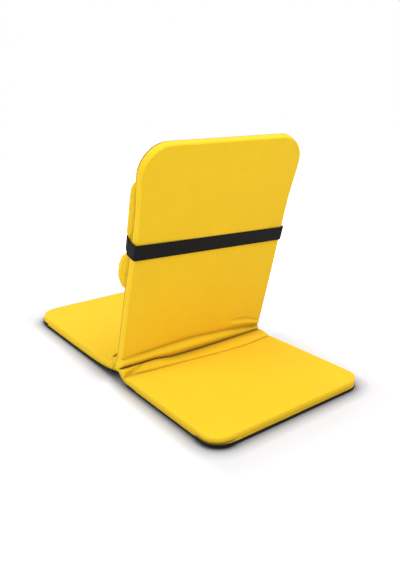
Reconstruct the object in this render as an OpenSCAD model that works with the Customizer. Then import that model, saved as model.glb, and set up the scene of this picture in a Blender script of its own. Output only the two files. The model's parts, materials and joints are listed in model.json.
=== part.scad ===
// Folding floor chair: three padded leaves that turn on one hinge line, with a strapped lumbar cushion.
// The front is -Y and the floor is Z = 0. The origin lies under the middle of the opened chair.

/* [Panels] */
// Width of the seat and of the rear leaf
panel_w = 450; // [420:5:500]
// Length of the seat, from the hinge line to its front edge
seat_len = 545; // [480:5:600]
// Length of the rear leaf, from the hinge line to its rear edge
rear_len = 388; // [330:5:450]
// Thickness of the seat and of the rear leaf
leaf_t = 27; // [24:0.5:34]
// Plan radius of the free corners of the seat and of the rear leaf
leaf_corner_r = 50; // [36:1:70]
// Radius of the padded edges of the seat and of the rear leaf
leaf_edge_r = 8; // [5:0.5:9]
// Height of the crown in the middle of each padded face
crown = 1.5; // [0.5:0.5:3]

/* [Backrest] */
// How much narrower the backrest is than the leaves
back_trim = 3; // [0:1:20]
// Length of the backrest above the hinge line
back_len = 572; // [500:2:640]
// Thickness of the backrest
back_t = 25; // [22:0.5:32]
// Radius of the upper corners of the backrest
back_corner_r = 68; // [45:1:90]
// Radius of the backrest's long edges
back_edge_r = 6; // [3:0.5:9]
// Lean of the backrest behind the vertical
lean = 16.4; // [5:0.2:25]
// How far the strap draws in each side of the backrest
side_draw = 5; // [0:0.5:8]

/* [Lumbar cushion] */
// How much narrower the lumbar cushion is than the backrest
lumbar_trim = 11; // [8:1:60]
// Height of the lumbar cushion
lumbar_h = 270; // [220:5:300]
// Thickness of its upper part
lumbar_upper_t = 46; // [36:1:56]
// Thickness of its full lower part
lumbar_lower_t = 60; // [46:1:64]
// Thickness where the strap pinches it
lumbar_pinch_t = 29; // [22:1:34]
// Height of the cushion's middle above the hinge line
lumbar_mid = 343; // [320:1:360]

/* [Strap] */
// Width of the elastic strap
strap_w = 38; // [25:1:50]
// Thickness of the elastic strap
strap_t = 1.6; // [1:0.1:2.5]
// Height of the strap's middle above the hinge line
strap_mid = 321; // [300:1:340]
// Slant of the strap across the backrest
strap_slant = 2.8; // [0:0.2:4]

/* [Covers] */
// Thickness of the loose cover cloth in the crease
cloth_t = 1.2; // [0.8:0.1:1.6]
// Height of the dark base cloth's rim
rim_h = 7; // [5:0.5:9]
// Thickness of the dark base cloth
base_t = 1; // [0.8:0.1:1.2]
// Height to which the corner patch of the base cloth rises
patch_h = 13; // [10:0.5:16]
// Thickness of the corner patch
patch_t = 0.6; // [0.4:0.1:1]
// How far the patch runs on along the leaf's side, past the corner
patch_side_run = 20; // [10:1:40]
// How far the patch runs on along the leaf's end, past the corner
patch_end_run = 14; // [8:1:40]

/* [Frames] */
// Diameter of the frame tube
tube_d = 12; // [10:0.5:13]
// Wall of the frame tube
tube_wall = 1.2; // [0.8:0.1:2]
// Distance from a leaf's outer edge to the middle of its frame tube
tube_inset = 15; // [13:0.5:20]
// Distance from the hinge line to the end tube of a leaf
end_tube_y = 28; // [27:0.5:32]
// Distance from the hinge line to the lower tube of the backrest
low_tube_z = 30; // [28:0.5:36]
// Bend radius of the tube at a leaf's hinge end
near_bend_r = 24; // [20:1:40]

/* [Hinges] */
// Distance from the middle of the chair to the middle of a hinge
hinge_x = 176; // [150:1:178]
// Diameter of the hinge bolt
bolt_d = 8; // [6:0.5:10]
// Thickness of a hinge arm
arm_t = 3; // [2:0.5:4]
// Radius of the arm's eye round the bolt
eye_r = 11; // [9:0.5:11.5]
// Thickness of a friction disc
disc_t = 1.5; // [1:0.25:2.5]
// Thickness of the bolt's head
head_t = 5.5; // [4:0.5:7]
// Thickness of the nut
nut_t = 6.5; // [5:0.5:8]
// Width across the flats of the bolt's head and of the nut
hex_af = 13; // [11:0.5:14]
// Running clearance round the bolt
bore_gap = 0.05; // [0.02:0.01:0.1]
// Clearance between parts that turn past each other
side_gap = 0.1; // [0.05:0.05:0.3]
// Clearance between the backrest's round end and the leaves
leaf_gap = 0.5; // [0.4:0.1:1.5]
// Slope of the leaf ends away from the hinge line
end_bevel = 16; // [16:0.5:24]

/* [Hidden] */
$fn = 48;

// Colours
canvas_yellow = "#f5c62e";
foam_cream = "#ece2c4";
black_cloth = "#1d1a19";
strap_black = "#262425";
zinc = "#b9bcc0";
tube_grey = "#5c6064";
friction_brown = "#5a4636";

// One overrun for every cut, and the clearance between layers of one leaf
over = 1;
layer_gap = 0.1;
soft_gap = 0.3;

// Widths that follow the leaves
back_w = panel_w - back_trim;
lumbar_w = back_w - lumbar_trim;

// The hinge line
hinge_y = (seat_len - rear_len) / 2;
axis_z = leaf_t + leaf_gap + back_t / 2;
tube_r = tube_d / 2;
tube_rise = 1;
tube_z = leaf_t / 2 + tube_rise;

// The hinge stack along X, from the bolt's head outwards
head_x = -(head_t + arm_t + arm_t / 2 + disc_t + 2 * side_gap + disc_t);
seat_arm_x = head_x + head_t + side_gap;
washer_x = seat_arm_x + arm_t + side_gap;
back_arm_x = washer_x + disc_t;
disc_a_x = back_arm_x + arm_t;
rear_arm_x = disc_a_x + disc_t + side_gap;
disc_b_x = rear_arm_x + arm_t + side_gap;
spring_x = disc_b_x + disc_t;
spring_t = 1;
spring_h = 1.6;
nut_x = spring_x + 2 * spring_h;
bolt_tail = 1;
tail_x = nut_x + nut_t + bolt_tail;
pocket_gap = 2;
pocket_h = 18;
collar_w = 2.5;
collar_r = tube_r + collar_w;
disc_r = 10;
washer_r = 8;
web_w = 13;
slot_gap = 0.6;

// Soft end of a leaf at the hinge line
lift_len = 60;
lift_h = 12;
near_corner_r = 24;
fade_len = 40;

// Counts of points along an outline, and rings of a padded form
corner_n = 7;
near_n = 4;
side_n = 6;
end_n = 3;

// Shares for the rings: inset and height at the base, as shares of the rim's height
rim_shares = [[0.71, 0], [0.22, 0.14], [0, 0.5], [0, 1]];
top_shares = [0.9, 0.7, 0.4];
base_place_shares = [1, 0.66, 0.36];
side_power = 1.6;
arc_steps = [15, 35, 60, 90];

// Places of soft layers
foam_inset = 7;
foam_low = 3;
foam_top = 1.8;
foam_back = 10;
foam_y = end_tube_y + tube_r + foam_back;
back_foam_inset = 6;
back_foam_low = 4;

function arc_points(cx, cy, r, a0, a1, n) =
    [for (i = [0:n - 1]) let (a = a0 + (a1 - a0) * i / (n - 1)) [cx + r * cos(a), cy + r * sin(a)]];

// Points between a and b, closer together near a where the power is over 1
function line_points(a, b, n, power = 1) = [for (i = [1:n]) a + (b - a) * pow(i / (n + 1), power)];
function line_back(a, b, n, power) = [for (i = [n:-1:1]) b + (a - b) * pow(i / (n + 1), power)];

// Outline of a leaf from the hinge line at y = 0 to y = len, drawn in by d
function outline(hw, len, r_far, r_near, d) =
    let (near = max(r_near - d, layer_gap), far = max(r_far - d, layer_gap),
         p0 = arc_points(hw - r_near, r_near, near, -90, 0, near_n),
         p1 = arc_points(hw - r_far, len - r_far, far, 0, 90, corner_n),
         p2 = arc_points(r_far - hw, len - r_far, far, 90, 180, corner_n),
         p3 = arc_points(r_near - hw, r_near, near, 180, 270, near_n))
    concat(
        p0, line_points(p0[near_n - 1], p1[0], side_n, side_power),
        p1, line_points(p1[corner_n - 1], p2[0], end_n),
        p2, line_back(p2[corner_n - 1], p3[0], side_n, side_power),
        p3, line_points(p3[near_n - 1], p0[0], end_n));

// A closed solid through rings of equal count, with a fan at the first and at the last point.
// Rings on a wall's inner side run back, so their quads are split along the other diagonal from inner on.
module ring_solid(first, rings, last, inner = 1000) {
    n = len(rings[0]);
    m = len(rings);
    points = concat([first], [for (r = rings) each r], [last]);
    low = [for (i = [0:n - 1]) [0, 1 + i, 1 + (i + 1) % n]];
    high = [for (i = [0:n - 1]) [m * n + 1, (m - 1) * n + 1 + (i + 1) % n, (m - 1) * n + 1 + i]];
    walls = [for (j = [0:m - 2]) for (i = [0:n - 1])
        let (a = j * n + 1 + i, b = j * n + 1 + (i + 1) % n, c = a + n, d = b + n)
        each (j < inner ? [[a, c, b], [b, c, d]] : [[a, c, d], [a, d, b]])];
    polyhedron(points = points, faces = concat(low, walls, high));
}

// The drawn-up, sloped end of a leaf: the base lifts and the end leans away from the hinge line
function end_share(y) = max(0, 1 - y / lift_len);
function lifted(y, z) = z + lift_h * pow(end_share(y), 2) * (leaf_t - z) / leaf_t;
function sloped(y, z) = y + (axis_z - z) * tan(end_bevel) * max(0, 1 - y / fade_len);
function leaf_point(p, z) = let (h = lifted(p[1], z)) [p[0], sloped(p[1], h), h];
function leaf_ring(len, d, z) =
    [for (p = outline(panel_w / 2, len, leaf_corner_r, near_corner_r, d)) leaf_point(p, z)];
function scaled_ring(len, d, z, s) =
    [for (p = outline(panel_w / 2, len, leaf_corner_r, near_corner_r, d))
        leaf_point([p[0] * s, len / 2 + (p[1] - len / 2) * s], z)];

// Rings of the flat underside, at height z and drawn in by d, with their ends spaced over the lifted length
function floor_rings(len, d, z) = [for (s = base_place_shares) scaled_ring(len, d, z, 1 - 2 * s * lift_len / len)];

// Rings of a leaf's base, for an offset inwards of g
function base_rings(len, g) =
    [for (s = rim_shares) leaf_ring(len, s[0] * rim_h + g, s[1] * rim_h + g * (1 - s[1]))];

// The padded form of a leaf above its base cloth
module leaf_form(len) {
    g = base_t + layer_gap;
    inner = base_rings(len, g);
    n = len(rim_shares);
    lower = [for (i = [0:n - 2]) inner[i]];
    rim = [leaf_ring(len, g, rim_h + layer_gap), leaf_ring(len, 0, rim_h + layer_gap)];
    edge = [for (a = concat([0], arc_steps))
        leaf_ring(len, leaf_edge_r * (1 - cos(a)), leaf_t - leaf_edge_r * (1 - sin(a)))];
    top = [for (s = top_shares) scaled_ring(len, leaf_edge_r, leaf_t + crown * (1 - s * s), s)];
    base = floor_rings(len, rim_shares[0][0] * rim_h + g, g);
    ring_solid([0, len / 2, g], concat(base, lower, rim, edge, top), [0, len / 2, leaf_t + crown]);
}

// The tray of base cloth under a leaf
module leaf_base(len) {
    outer = base_rings(len, 0);
    inner = base_rings(len, base_t);
    n = len(rim_shares);
    first = floor_rings(len, rim_shares[0][0] * rim_h, 0);
    upper = floor_rings(len, rim_shares[0][0] * rim_h + base_t, base_t);
    turned = [for (i = [n - 1:-1:0]) inner[i]];
    last = [for (i = [len(upper) - 1:-1:0]) upper[i]];
    ring_solid([0, len / 2, 0], concat(first, outer, turned, last), [0, len / 2, base_t],
        inner = len(first) + n);
}

// A strip round the far corner on the -X side, just outside the cover
module corner_patch(len) {
    hw = panel_w / 2;
    x = leaf_corner_r - hw;
    y = len - leaf_corner_r;
    inner = concat([[-hw, y - patch_side_run]], arc_points(x, y, leaf_corner_r, 180, 90, corner_n),
        [[x + patch_end_run, len]]);
    outer = concat([[-hw - patch_t, y - patch_side_run]],
        arc_points(x, y, leaf_corner_r + patch_t, 180, 90, corner_n), [[x + patch_end_run, len + patch_t]]);
    section_solid([for (i = [0:len(inner) - 1])
        [concat(inner[i], rim_h), concat(inner[i], patch_h), concat(outer[i], patch_h), concat(outer[i], rim_h)]]);
}

// A closed solid through open sections of equal count
module section_solid(sections) {
    n = len(sections[0]);
    m = len(sections);
    points = [for (s = sections) each s];
    walls = [for (j = [0:m - 2]) for (i = [0:n - 1])
        let (a = j * n + i, b = j * n + (i + 1) % n, c = a + n, d = b + n)
        each [[a, b, c], [b, d, c]]];
    start = [for (i = [1:n - 2]) [0, i + 1, i]];
    stop = [for (i = [1:n - 2]) [(m - 1) * n, (m - 1) * n + i, (m - 1) * n + i + 1]];
    polyhedron(points = points, faces = concat(start, walls, stop));
}

// A flat plate with round corners, from y0 to y1 and as wide as x each way
module round_plate(x, y0, y1, r_far, r_near, h) {
    linear_extrude(h)
        polygon(concat(
            arc_points(x - r_near, y0 + r_near, r_near, -90, 0, corner_n * 2),
            arc_points(x - r_far, y1 - r_far, r_far, 0, 90, corner_n * 2),
            arc_points(r_far - x, y1 - r_far, r_far, 90, 180, corner_n * 2),
            arc_points(r_near - x, y0 + r_near, r_near, 180, 270, corner_n * 2)));
}

// Tube along X, along Y, and a quarter bend, all of radius r
module tube_x(x0, x1, y, r) { translate([x0, y, 0]) rotate([0, 90, 0]) cylinder(r = r, h = x1 - x0); }
module tube_y(x, y0, y1, r) { translate([x, y0, 0]) rotate([-90, 0, 0]) cylinder(r = r, h = y1 - y0); }
module bend(x, y, a, bend_r, r) {
    translate([x, y, 0]) rotate([0, 0, a]) rotate_extrude(angle = 90) translate([bend_r, 0]) circle(r = r);
}

// A closed ring of bent tube in the plane Z = 0
module tube_ring(x, y0, y1, far_r, near_r, r) {
    tube_x(near_r - x, x - near_r, y0, r);
    tube_x(far_r - x, x - far_r, y1, r);
    for (side = [-1, 1]) tube_y(side * x, y0 + near_r, y1 - far_r, r);
    bend(x - near_r, y0 + near_r, -90, near_r, r);
    bend(near_r - x, y0 + near_r, 180, near_r, r);
    bend(x - far_r, y1 - far_r, 0, far_r, r);
    bend(far_r - x, y1 - far_r, 90, far_r, r);
}

// The ring with its hollow, and a cross tube that is coped to its sides
module ring_frame(x, y0, y1, far_r, near_r, cross_y) {
    difference() {
        union() {
            tube_ring(x, y0, y1, far_r, near_r, tube_r);
            for (y = cross_y) tube_x(-x, x, y, tube_r);
        }
        tube_ring(x, y0, y1, far_r, near_r, tube_r - tube_wall);
        for (y = cross_y) tube_x(-x, x, y, tube_r - tube_wall);
    }
}

// The room that a frame takes in its foam
module ring_room(x, y0, y1, far_r, near_r, cross_y) {
    tube_ring(x, y0, y1, far_r, near_r, tube_r + layer_gap);
    for (y = cross_y) tube_x(-x, x, y, tube_r + layer_gap);
}

leaf_tube_x = panel_w / 2 - tube_inset;
leaf_bend_r = leaf_corner_r - tube_inset;
function leaf_far(len) = len - tube_inset;
function leaf_cross(len) = [len / 2];

module leaf_frame(len) {
    translate([0, 0, tube_z])
        ring_frame(leaf_tube_x, end_tube_y, leaf_far(len), leaf_bend_r, near_bend_r, leaf_cross(len));
}

module leaf_foam_body(len, g) {
    translate([0, 0, foam_low - g])
        round_plate(panel_w / 2 - foam_inset + g, foam_y - g, len - foam_inset + g,
            leaf_corner_r - foam_inset + g, tube_r, leaf_t - foam_low - foam_top + 2 * g);
}

module leaf_foam(len) {
    difference() {
        leaf_foam_body(len, 0);
        translate([0, 0, tube_z])
            ring_room(leaf_tube_x, end_tube_y, leaf_far(len), leaf_bend_r, near_bend_r, leaf_cross(len));
    }
}

// The hollow of a leaf's cover: the foam's room and a channel for the end tube
module leaf_hollow(len) {
    leaf_foam_body(len, layer_gap);
    translate([0, 0, tube_z]) {
        tube_x(near_bend_r - leaf_tube_x, leaf_tube_x - near_bend_r, end_tube_y, tube_r + soft_gap);
        translate([near_bend_r - leaf_tube_x, end_tube_y, -tube_r - soft_gap])
            cube([2 * (leaf_tube_x - near_bend_r), tube_r + over, tube_d + 2 * soft_gap]);
        for (side = [-1, 1])
            bend(side * (leaf_tube_x - near_bend_r), end_tube_y + near_bend_r, side > 0 ? -90 : 180,
                near_bend_r, tube_r + soft_gap);
        for (side = [-1, 1])
            tube_y(side * leaf_tube_x, end_tube_y + near_bend_r, foam_y + near_bend_r, tube_r + soft_gap);
    }
}

// The flat link of a hinge arm along a route of points: an eye at its start and a collar at its end
module link(route, grow) {
    last = len(route) - 1;
    translate(route[0]) circle(r = eye_r + grow);
    translate(route[last]) circle(r = collar_r + grow);
    for (i = [1:last - 1]) translate(route[i]) circle(r = web_w / 2 + knee_swell + grow);
    for (i = [1:last]) {
        step = route[i] - route[i - 1];
        translate(route[i - 1]) rotate(atan2(step[1], step[0]))
            translate([0, -web_w / 2 - grow]) square([norm(step), web_w + 2 * grow]);
    }
}

// A hinge arm in the plane across X, drilled for the bolt and for its frame tube
module arm(route) {
    rotate([90, 0, 90])
        difference() {
            linear_extrude(arm_t) link(route, 0);
            translate([0, 0, -over]) cylinder(r = bolt_d / 2 + bore_gap, h = arm_t + 2 * over);
            translate(concat(route[len(route) - 1], -over))
                cylinder(r = tube_r + bore_gap, h = arm_t + 2 * over);
        }
}

module arm_slot(route) {
    translate([-slot_gap, 0, 0]) rotate([90, 0, 90]) linear_extrude(arm_t + 2 * slot_gap) link(route, slot_gap);
}

// The room that the opposite leaf's arm takes in a leaf's end when the leaves are bent back
module turn_slot() {
    translate([-slot_gap, 0, 0]) rotate([90, 0, 90]) linear_extrude(arm_t + 2 * slot_gap)
        hull()
            for (a = [0, bend_back]) rotate(a) mirror([1, 0]) {
                circle(r = web_w / 2 + slot_gap);
                translate(leaf_route[1]) circle(r = web_w / 2 + knee_swell + slot_gap);
            }
}

// A leaf's arm drops through the leaf's end and turns back to the end tube; the backrest's arm is straight
knee_y = 5;
knee_swell = 1;
knee_cover = 1.4;
knee_drop = axis_z - leaf_t + web_w / 2 + knee_cover;
leaf_route = [[0, 0], [knee_y, -knee_drop], [end_tube_y, tube_z - axis_z]];
back_route = [[0, 0], [0, low_tube_z]];

// How far the two leaves bend back past the open position, between them
bend_back = 30;

// Places something at the inner face of both hinges' layer x, in the frame of the hinge line
module at_hinges(x, t) {
    translate([hinge_x + x, 0, 0]) children();
    translate([-hinge_x - x - t, 0, 0]) children();
}

// Frames of the three leaves
module seat_place() { translate([0, hinge_y, 0]) rotate([0, 0, 180]) children(); }
module rear_place() { translate([0, hinge_y, 0]) children(); }
module back_place() { translate([0, hinge_y, axis_z]) rotate([-lean, 0, 0]) children(); }

module hinge_slots(own_x, other_x) {
    translate([0, 0, axis_z]) {
        at_hinges(own_x, arm_t) arm_slot(leaf_route);
        at_hinges(other_x, arm_t) turn_slot();
    }
}

module leaf_cover(len, own_x, other_x) {
    difference() {
        leaf_form(len);
        leaf_hollow(len);
        hinge_slots(own_x, other_x);
    }
}

module leaf_base_cloth(len, own_x, other_x) {
    difference() {
        leaf_base(len);
        hinge_slots(own_x, other_x);
    }
}

module seat_frame() { color(tube_grey) seat_place() leaf_frame(seat_len); }
module seat_foam() { color(foam_cream) seat_place() leaf_foam(seat_len); }
module seat_cover() { color(canvas_yellow) seat_place() leaf_cover(seat_len, seat_arm_x, rear_arm_x); }
module seat_base_cloth() {
    color(black_cloth) seat_place() leaf_base_cloth(seat_len, seat_arm_x, rear_arm_x);
}
module seat_corner_patch() { color(black_cloth) seat_place() corner_patch(seat_len); }
module seat_hinge_arms() {
    color(zinc) seat_place() translate([0, 0, axis_z]) at_hinges(seat_arm_x, arm_t) arm(leaf_route);
}

module rear_frame() { color(tube_grey) rear_place() leaf_frame(rear_len); }
module rear_foam() { color(foam_cream) rear_place() leaf_foam(rear_len); }
module rear_cover() { color(canvas_yellow) rear_place() leaf_cover(rear_len, rear_arm_x, seat_arm_x); }
module rear_base_cloth() {
    color(black_cloth) rear_place() leaf_base_cloth(rear_len, rear_arm_x, seat_arm_x);
}
module rear_corner_patch() { color(black_cloth) rear_place() mirror([1, 0, 0]) corner_patch(rear_len); }
module rear_hinge_arms() {
    color(zinc) rear_place() translate([0, 0, axis_z]) at_hinges(rear_arm_x, arm_t) arm(leaf_route);
}

// The backrest lies in the plane XZ of its own frame, and is drawn in XY and stood up
back_tube_x = back_w / 2 - side_draw - tube_inset + tube_r / 2;
back_far = back_len - tube_inset;
back_bend_r = back_corner_r - tube_inset;
back_cross = [back_len / 3, back_len * 2 / 3];
face_shares = [0.9, 0.6];
back_steps_up = concat([0], arc_steps);
back_steps_down = [for (i = [len(back_steps_up) - 1:-1:0]) back_steps_up[i]];
module stand() { rotate([90, 0, 0]) children(); }

// How far the sides are drawn in at height h, level along the strap's travel
function drawn(h) = side_draw * max(0, 1 - pow((h - strap_mid) / (back_len / 3), 6));
function back_point(p, z) = [p[0] * (1 - drawn(p[1]) / (back_w / 2)), p[1], z];
function back_ring(d, z) =
    [for (p = outline(back_w / 2, back_len + back_t / 2, back_corner_r, back_edge_r + layer_gap, d))
        back_point([p[0], p[1] - back_t / 2], z)];
function back_scaled(z, s) =
    let (mid = back_len / 2)
    [for (p = outline(back_w / 2, back_len + back_t / 2, back_corner_r, back_edge_r + layer_gap, back_edge_r))
        back_point([p[0] * s, mid + (p[1] - back_t / 2 - mid) * s], z)];

module back_form() {
    half = back_t / 2;
    low = [for (a = back_steps_down)
        back_ring(back_edge_r * (1 - cos(a)), -half + back_edge_r * (1 - sin(a)))];
    high = [for (a = back_steps_up)
        back_ring(back_edge_r * (1 - cos(a)), half - back_edge_r * (1 - sin(a)))];
    inwards = [for (i = [len(face_shares) - 1:-1:0]) face_shares[i]];
    first = [for (s = inwards) back_scaled(-half - crown * (1 - s * s), s)];
    last = [for (s = face_shares) back_scaled(half + crown * (1 - s * s), s)];
    mid = back_len / 2;
    ring_solid([0, mid, -half - crown], concat(first, low, high, last), [0, mid, half + crown]);
}

module back_hollow(g) {
    translate([0, 0, -back_t / 2 + foam_top - g])
        round_plate(back_w / 2 - side_draw - back_foam_inset + g, pocket_h + back_foam_low - g,
            back_len - back_foam_inset + g, back_corner_r - back_foam_inset + g, back_edge_r,
            back_t - 2 * foam_top + 2 * g);
}

// The open pocket round each hinge at the backrest's lower end
module hinge_pockets() {
    w = tail_x - head_x + 2 * pocket_gap;
    for (side = [-1, 1])
        translate([side * (hinge_x + (tail_x + head_x) / 2) - w / 2, -back_t, -back_t])
            cube([w, back_t + pocket_h, 2 * back_t]);
}

module back_cover() {
    color(canvas_yellow) back_place() stand()
        difference() {
            intersection() {
                back_form();
                union() {
                    translate([-back_w, 0, -back_t]) cube([2 * back_w, 2 * back_len, 2 * back_t]);
                    translate([-back_w, 0, 0]) rotate([0, 90, 0]) cylinder(r = back_t / 2, h = 2 * back_w);
                }
            }
            back_hollow(layer_gap);
            hinge_pockets();
            back_arm_slots();
        }
}

module back_arm_slots() {
    at_hinges(back_arm_x, arm_t) rotate([-90, 0, 0]) arm_slot(back_route);
}

module back_frame() {
    color(tube_grey) back_place() stand()
        ring_frame(back_tube_x, low_tube_z, back_far, back_bend_r, near_bend_r, back_cross);
}

module back_foam() {
    color(foam_cream) back_place() stand()
        difference() {
            back_hollow(0);
            ring_room(back_tube_x, low_tube_z, back_far, back_bend_r, near_bend_r, back_cross);
            back_arm_slots();
        }
}

module back_hinge_arms() {
    color(zinc) back_place() at_hinges(back_arm_x, arm_t) arm(back_route);
}

// The tape that closes the seam round the front edge of the backrest
tape_w = 2;
tape_t = 0.5;
module back_seam_tape() {
    z = back_t / 2 - back_edge_r - tape_w;
    keep = [for (i = [near_n:near_n + 2 * side_n + 2 * corner_n + end_n - 1]) i];
    inner_low = back_ring(0, z);
    inner_high = back_ring(0, z + tape_w);
    outer_low = back_ring(-tape_t, z);
    outer_high = back_ring(-tape_t, z + tape_w);
    color(black_cloth) back_place() stand()
        section_solid([for (i = keep) [inner_low[i], outer_low[i], outer_high[i], inner_high[i]]]);
}

// Hinge hardware on the bolt's line, which lies along X
module along_x() { rotate([0, 90, 0]) children(); }
module hex(t) { cylinder(r = hex_af / sqrt(3), h = t, $fn = 6); }

module hinge_bolts() {
    color(zinc) back_place() for (side = [0, 1]) mirror([side, 0, 0]) translate([hinge_x, 0, 0]) {
        translate([head_x, 0, 0]) along_x() hex(head_t);
        translate([head_x + head_t, 0, 0]) along_x() cylinder(r = bolt_d / 2, h = tail_x - head_x - head_t);
    }
}

module rings_on_bolt(x, r, t) {
    for (side = [0, 1]) mirror([side, 0, 0]) translate([hinge_x + x, 0, 0]) along_x()
        difference() {
            cylinder(r = r, h = t);
            translate([0, 0, -over]) cylinder(r = bolt_d / 2 + bore_gap, h = t + 2 * over);
        }
}

module hinge_nuts() {
    color(zinc) back_place()
        for (side = [0, 1]) mirror([side, 0, 0]) translate([hinge_x + nut_x, 0, 0]) along_x()
            difference() {
                hex(nut_t);
                translate([0, 0, -over]) cylinder(r = bolt_d / 2 + bore_gap, h = nut_t + 2 * over);
            }
}

module spacer_washers() { color(zinc) back_place() rings_on_bolt(washer_x, washer_r, disc_t); }

module friction_discs() {
    color(friction_brown) back_place() {
        rings_on_bolt(disc_a_x, disc_r, disc_t);
        rings_on_bolt(disc_b_x, disc_r, disc_t);
    }
}

// A cupped spring washer: a slanted section turned round the bolt
module cupped(flip) {
    inner = bolt_d / 2 + bore_gap;
    rise = spring_h - spring_t;
    mirror([0, 0, flip]) translate([0, 0, -flip * spring_h])
        rotate_extrude()
            polygon([[inner, rise], [washer_r, 0], [washer_r, spring_t], [inner, spring_h]]);
}

module disc_springs() {
    color(zinc) back_place()
        for (side = [0, 1]) mirror([side, 0, 0]) translate([hinge_x + spring_x, 0, 0]) along_x() {
            cupped(0);
            translate([0, 0, spring_h]) cupped(1);
        }
}

// The loose cover cloth in the corner between the backrest and the rear leaf
crease_w = panel_w - 2 * leaf_edge_r;
crease_x_n = 14;
crease_s_n = 16;
crease_up = 56;
crease_out = 74;
crease_gap = soft_gap + crown * 2 / 3;
fold_up_h = 9;
fold_low_h = 7;

// Shares of the way down and out along the cloth: its corner, its two folds, and how far they drift to -X
corner_share = 0.45;
fold_up_shares = [0.12, 0.44];
fold_low_shares = [0.5, 0.74];
fold_drift_shares = [0.1, 0.12];
probe_share = 0.01;

// A bump of height 1 over the share interval a to b
function bump(s, a, b) = (s <= a || s >= b) ? 0 : pow(sin(180 * (s - a) / (b - a)), 2);

// The cloth's corner in the plane YZ from the hinge line, just off the backrest and the rear leaf
back_up = [sin(lean), cos(lean)];
back_out = [cos(lean), -sin(lean)];
crease_foot = back_t / 2 + crease_gap;
crease_floor = leaf_t + crease_gap - axis_z;
crease_low = (crease_floor + crease_foot * sin(lean)) / cos(lean);
crease_corner = back_up * crease_low + back_out * crease_foot;

function upper_fold(s, side) =
    fold_up_h * bump(s, fold_up_shares[0] + fold_drift_shares[0] * (1 - side), fold_up_shares[1])
        * (1 + sin(180 * side)) / 2;
function lower_fold(s, side) =
    fold_low_h * bump(s, fold_low_shares[0], fold_low_shares[1] + fold_drift_shares[1] * (1 - side));

// Places along the cloth: down the backrest, then along the rear leaf
function crease_path(s, x) =
    let (side = (1 + 2 * x / crease_w) / 2)
    s < corner_share
        ? crease_corner + back_up * (crease_up - crease_low) * (1 - s / corner_share)
            + back_out * upper_fold(s, side)
        : crease_corner + [(crease_out - crease_corner[0]) * (s - corner_share) / (1 - corner_share),
            lower_fold(s, side)];

function crease_normal(s, x) =
    let (d = crease_path(min(1, s + probe_share), x) - crease_path(max(0, s - probe_share), x))
    [-d[1], d[0]] / norm(d);

module crease_cloth() {
    rows = [for (i = [0:crease_x_n]) let (x = crease_w * (i / crease_x_n - 1 / 2))
        concat(
            [for (j = [0:crease_s_n])
                let (s = j / crease_s_n, p = crease_path(s, x) + crease_normal(s, x) * cloth_t)
                [x, p[0], p[1]]],
            [for (j = [crease_s_n:-1:0]) let (p = crease_path(j / crease_s_n, x)) [x, p[0], p[1]]])];
    color(canvas_yellow) translate([0, hinge_y, axis_z]) strip_solid(rows);
}

// A closed solid through sections that fold back on themselves, so the ends are strips
module strip_solid(sections) {
    n = len(sections[0]);
    m = len(sections);
    h = n / 2;
    points = [for (s = sections) each s];
    walls = [for (j = [0:m - 2]) for (i = [0:n - 1])
        let (a = j * n + i, b = j * n + (i + 1) % n, c = a + n, d = b + n)
        each [[a, b, c], [b, d, c]]];
    q = (m - 1) * n;
    start = [for (i = [0:h - 2]) each [[i, n - 1 - i, i + 1], [i + 1, n - 1 - i, n - 2 - i]]];
    stop = [for (i = [0:h - 2]) each [[q + i, q + i + 1, q + n - 1 - i], [q + i + 1, q + n - 2 - i, q + n - 1 - i]]];
    polyhedron(points = points, faces = concat(start, walls, stop));
}

// The lumbar cushion, in the backrest's frame: X across, Y to the rear, Z up
lumbar_rear = back_t / 2 + crown + 2 * soft_gap;
lumbar_n = 20;
lumbar_draw = 4;
pinch_margin = 3;
pinch_half = strap_w / 2 + pinch_margin;
pinch_fade = 16;
seam_band = 3;

// Rows of the cushion: shares of the stretch below the pinch, of the pinch, and of the stretch above it
row_low_shares = [0, 0.05, 0.15, 0.32, 0.6, 1];
row_fade_shares = [0.5, 0];
row_high_shares = [0, 0.4, 0.7, 0.87, 0.96, 1];

function strap_z(x) = strap_mid + x * tan(strap_slant);
function smooth(t) = t <= 0 ? 0 : t >= 1 ? 1 : (1 - cos(180 * t)) / 2;
function pinch_share(x, z) = 1 - smooth((abs(z - strap_z(x)) - pinch_half) / pinch_fade);
function lumbar_full(z) =
    lumbar_lower_t + (lumbar_upper_t - lumbar_lower_t) * smooth((z - strap_mid + pinch_fade) / (2 * pinch_fade));

// Heights of the rows at the share u of the half width: the ends draw in between the corners
function lumbar_heights(u) =
    let (end = lumbar_h / 2 - lumbar_draw * (1 - u * u), mid = strap_z(u * lumbar_w / 2),
         low = mid - pinch_half - pinch_fade, high = mid + pinch_half + pinch_fade,
         bottom = lumbar_mid - end, top = lumbar_mid + end)
    concat(
        [for (t = row_low_shares) bottom + (low - bottom) * t],
        [for (t = row_fade_shares) mid - pinch_half - pinch_fade * t],
        [mid],
        [for (i = [len(row_fade_shares) - 1:-1:0]) mid + pinch_half + pinch_fade * row_fade_shares[i]],
        [for (t = row_high_shares) high + (top - high) * t]);

// Depth of the cushion at shares u and v of its half width and half height
function lumbar_depth(u, v, x, z) =
    let (free = lumbar_full(z) * sqrt((1 - pow(u, 6)) * (1 - pow(v, 4))),
         held = lumbar_pinch_t * sqrt((1 - pow(u, 10)) * (1 - pow(v, 4))))
    free + (held - free) * pinch_share(x, z);

// Distance of the seam's middle in front of the hinge line: half way through the cushion
function seam_y(x, z) =
    let (t = lumbar_full(z)) lumbar_rear + (seam_band + t + (lumbar_pinch_t - t) * pinch_share(x, z)) / 2;

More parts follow.
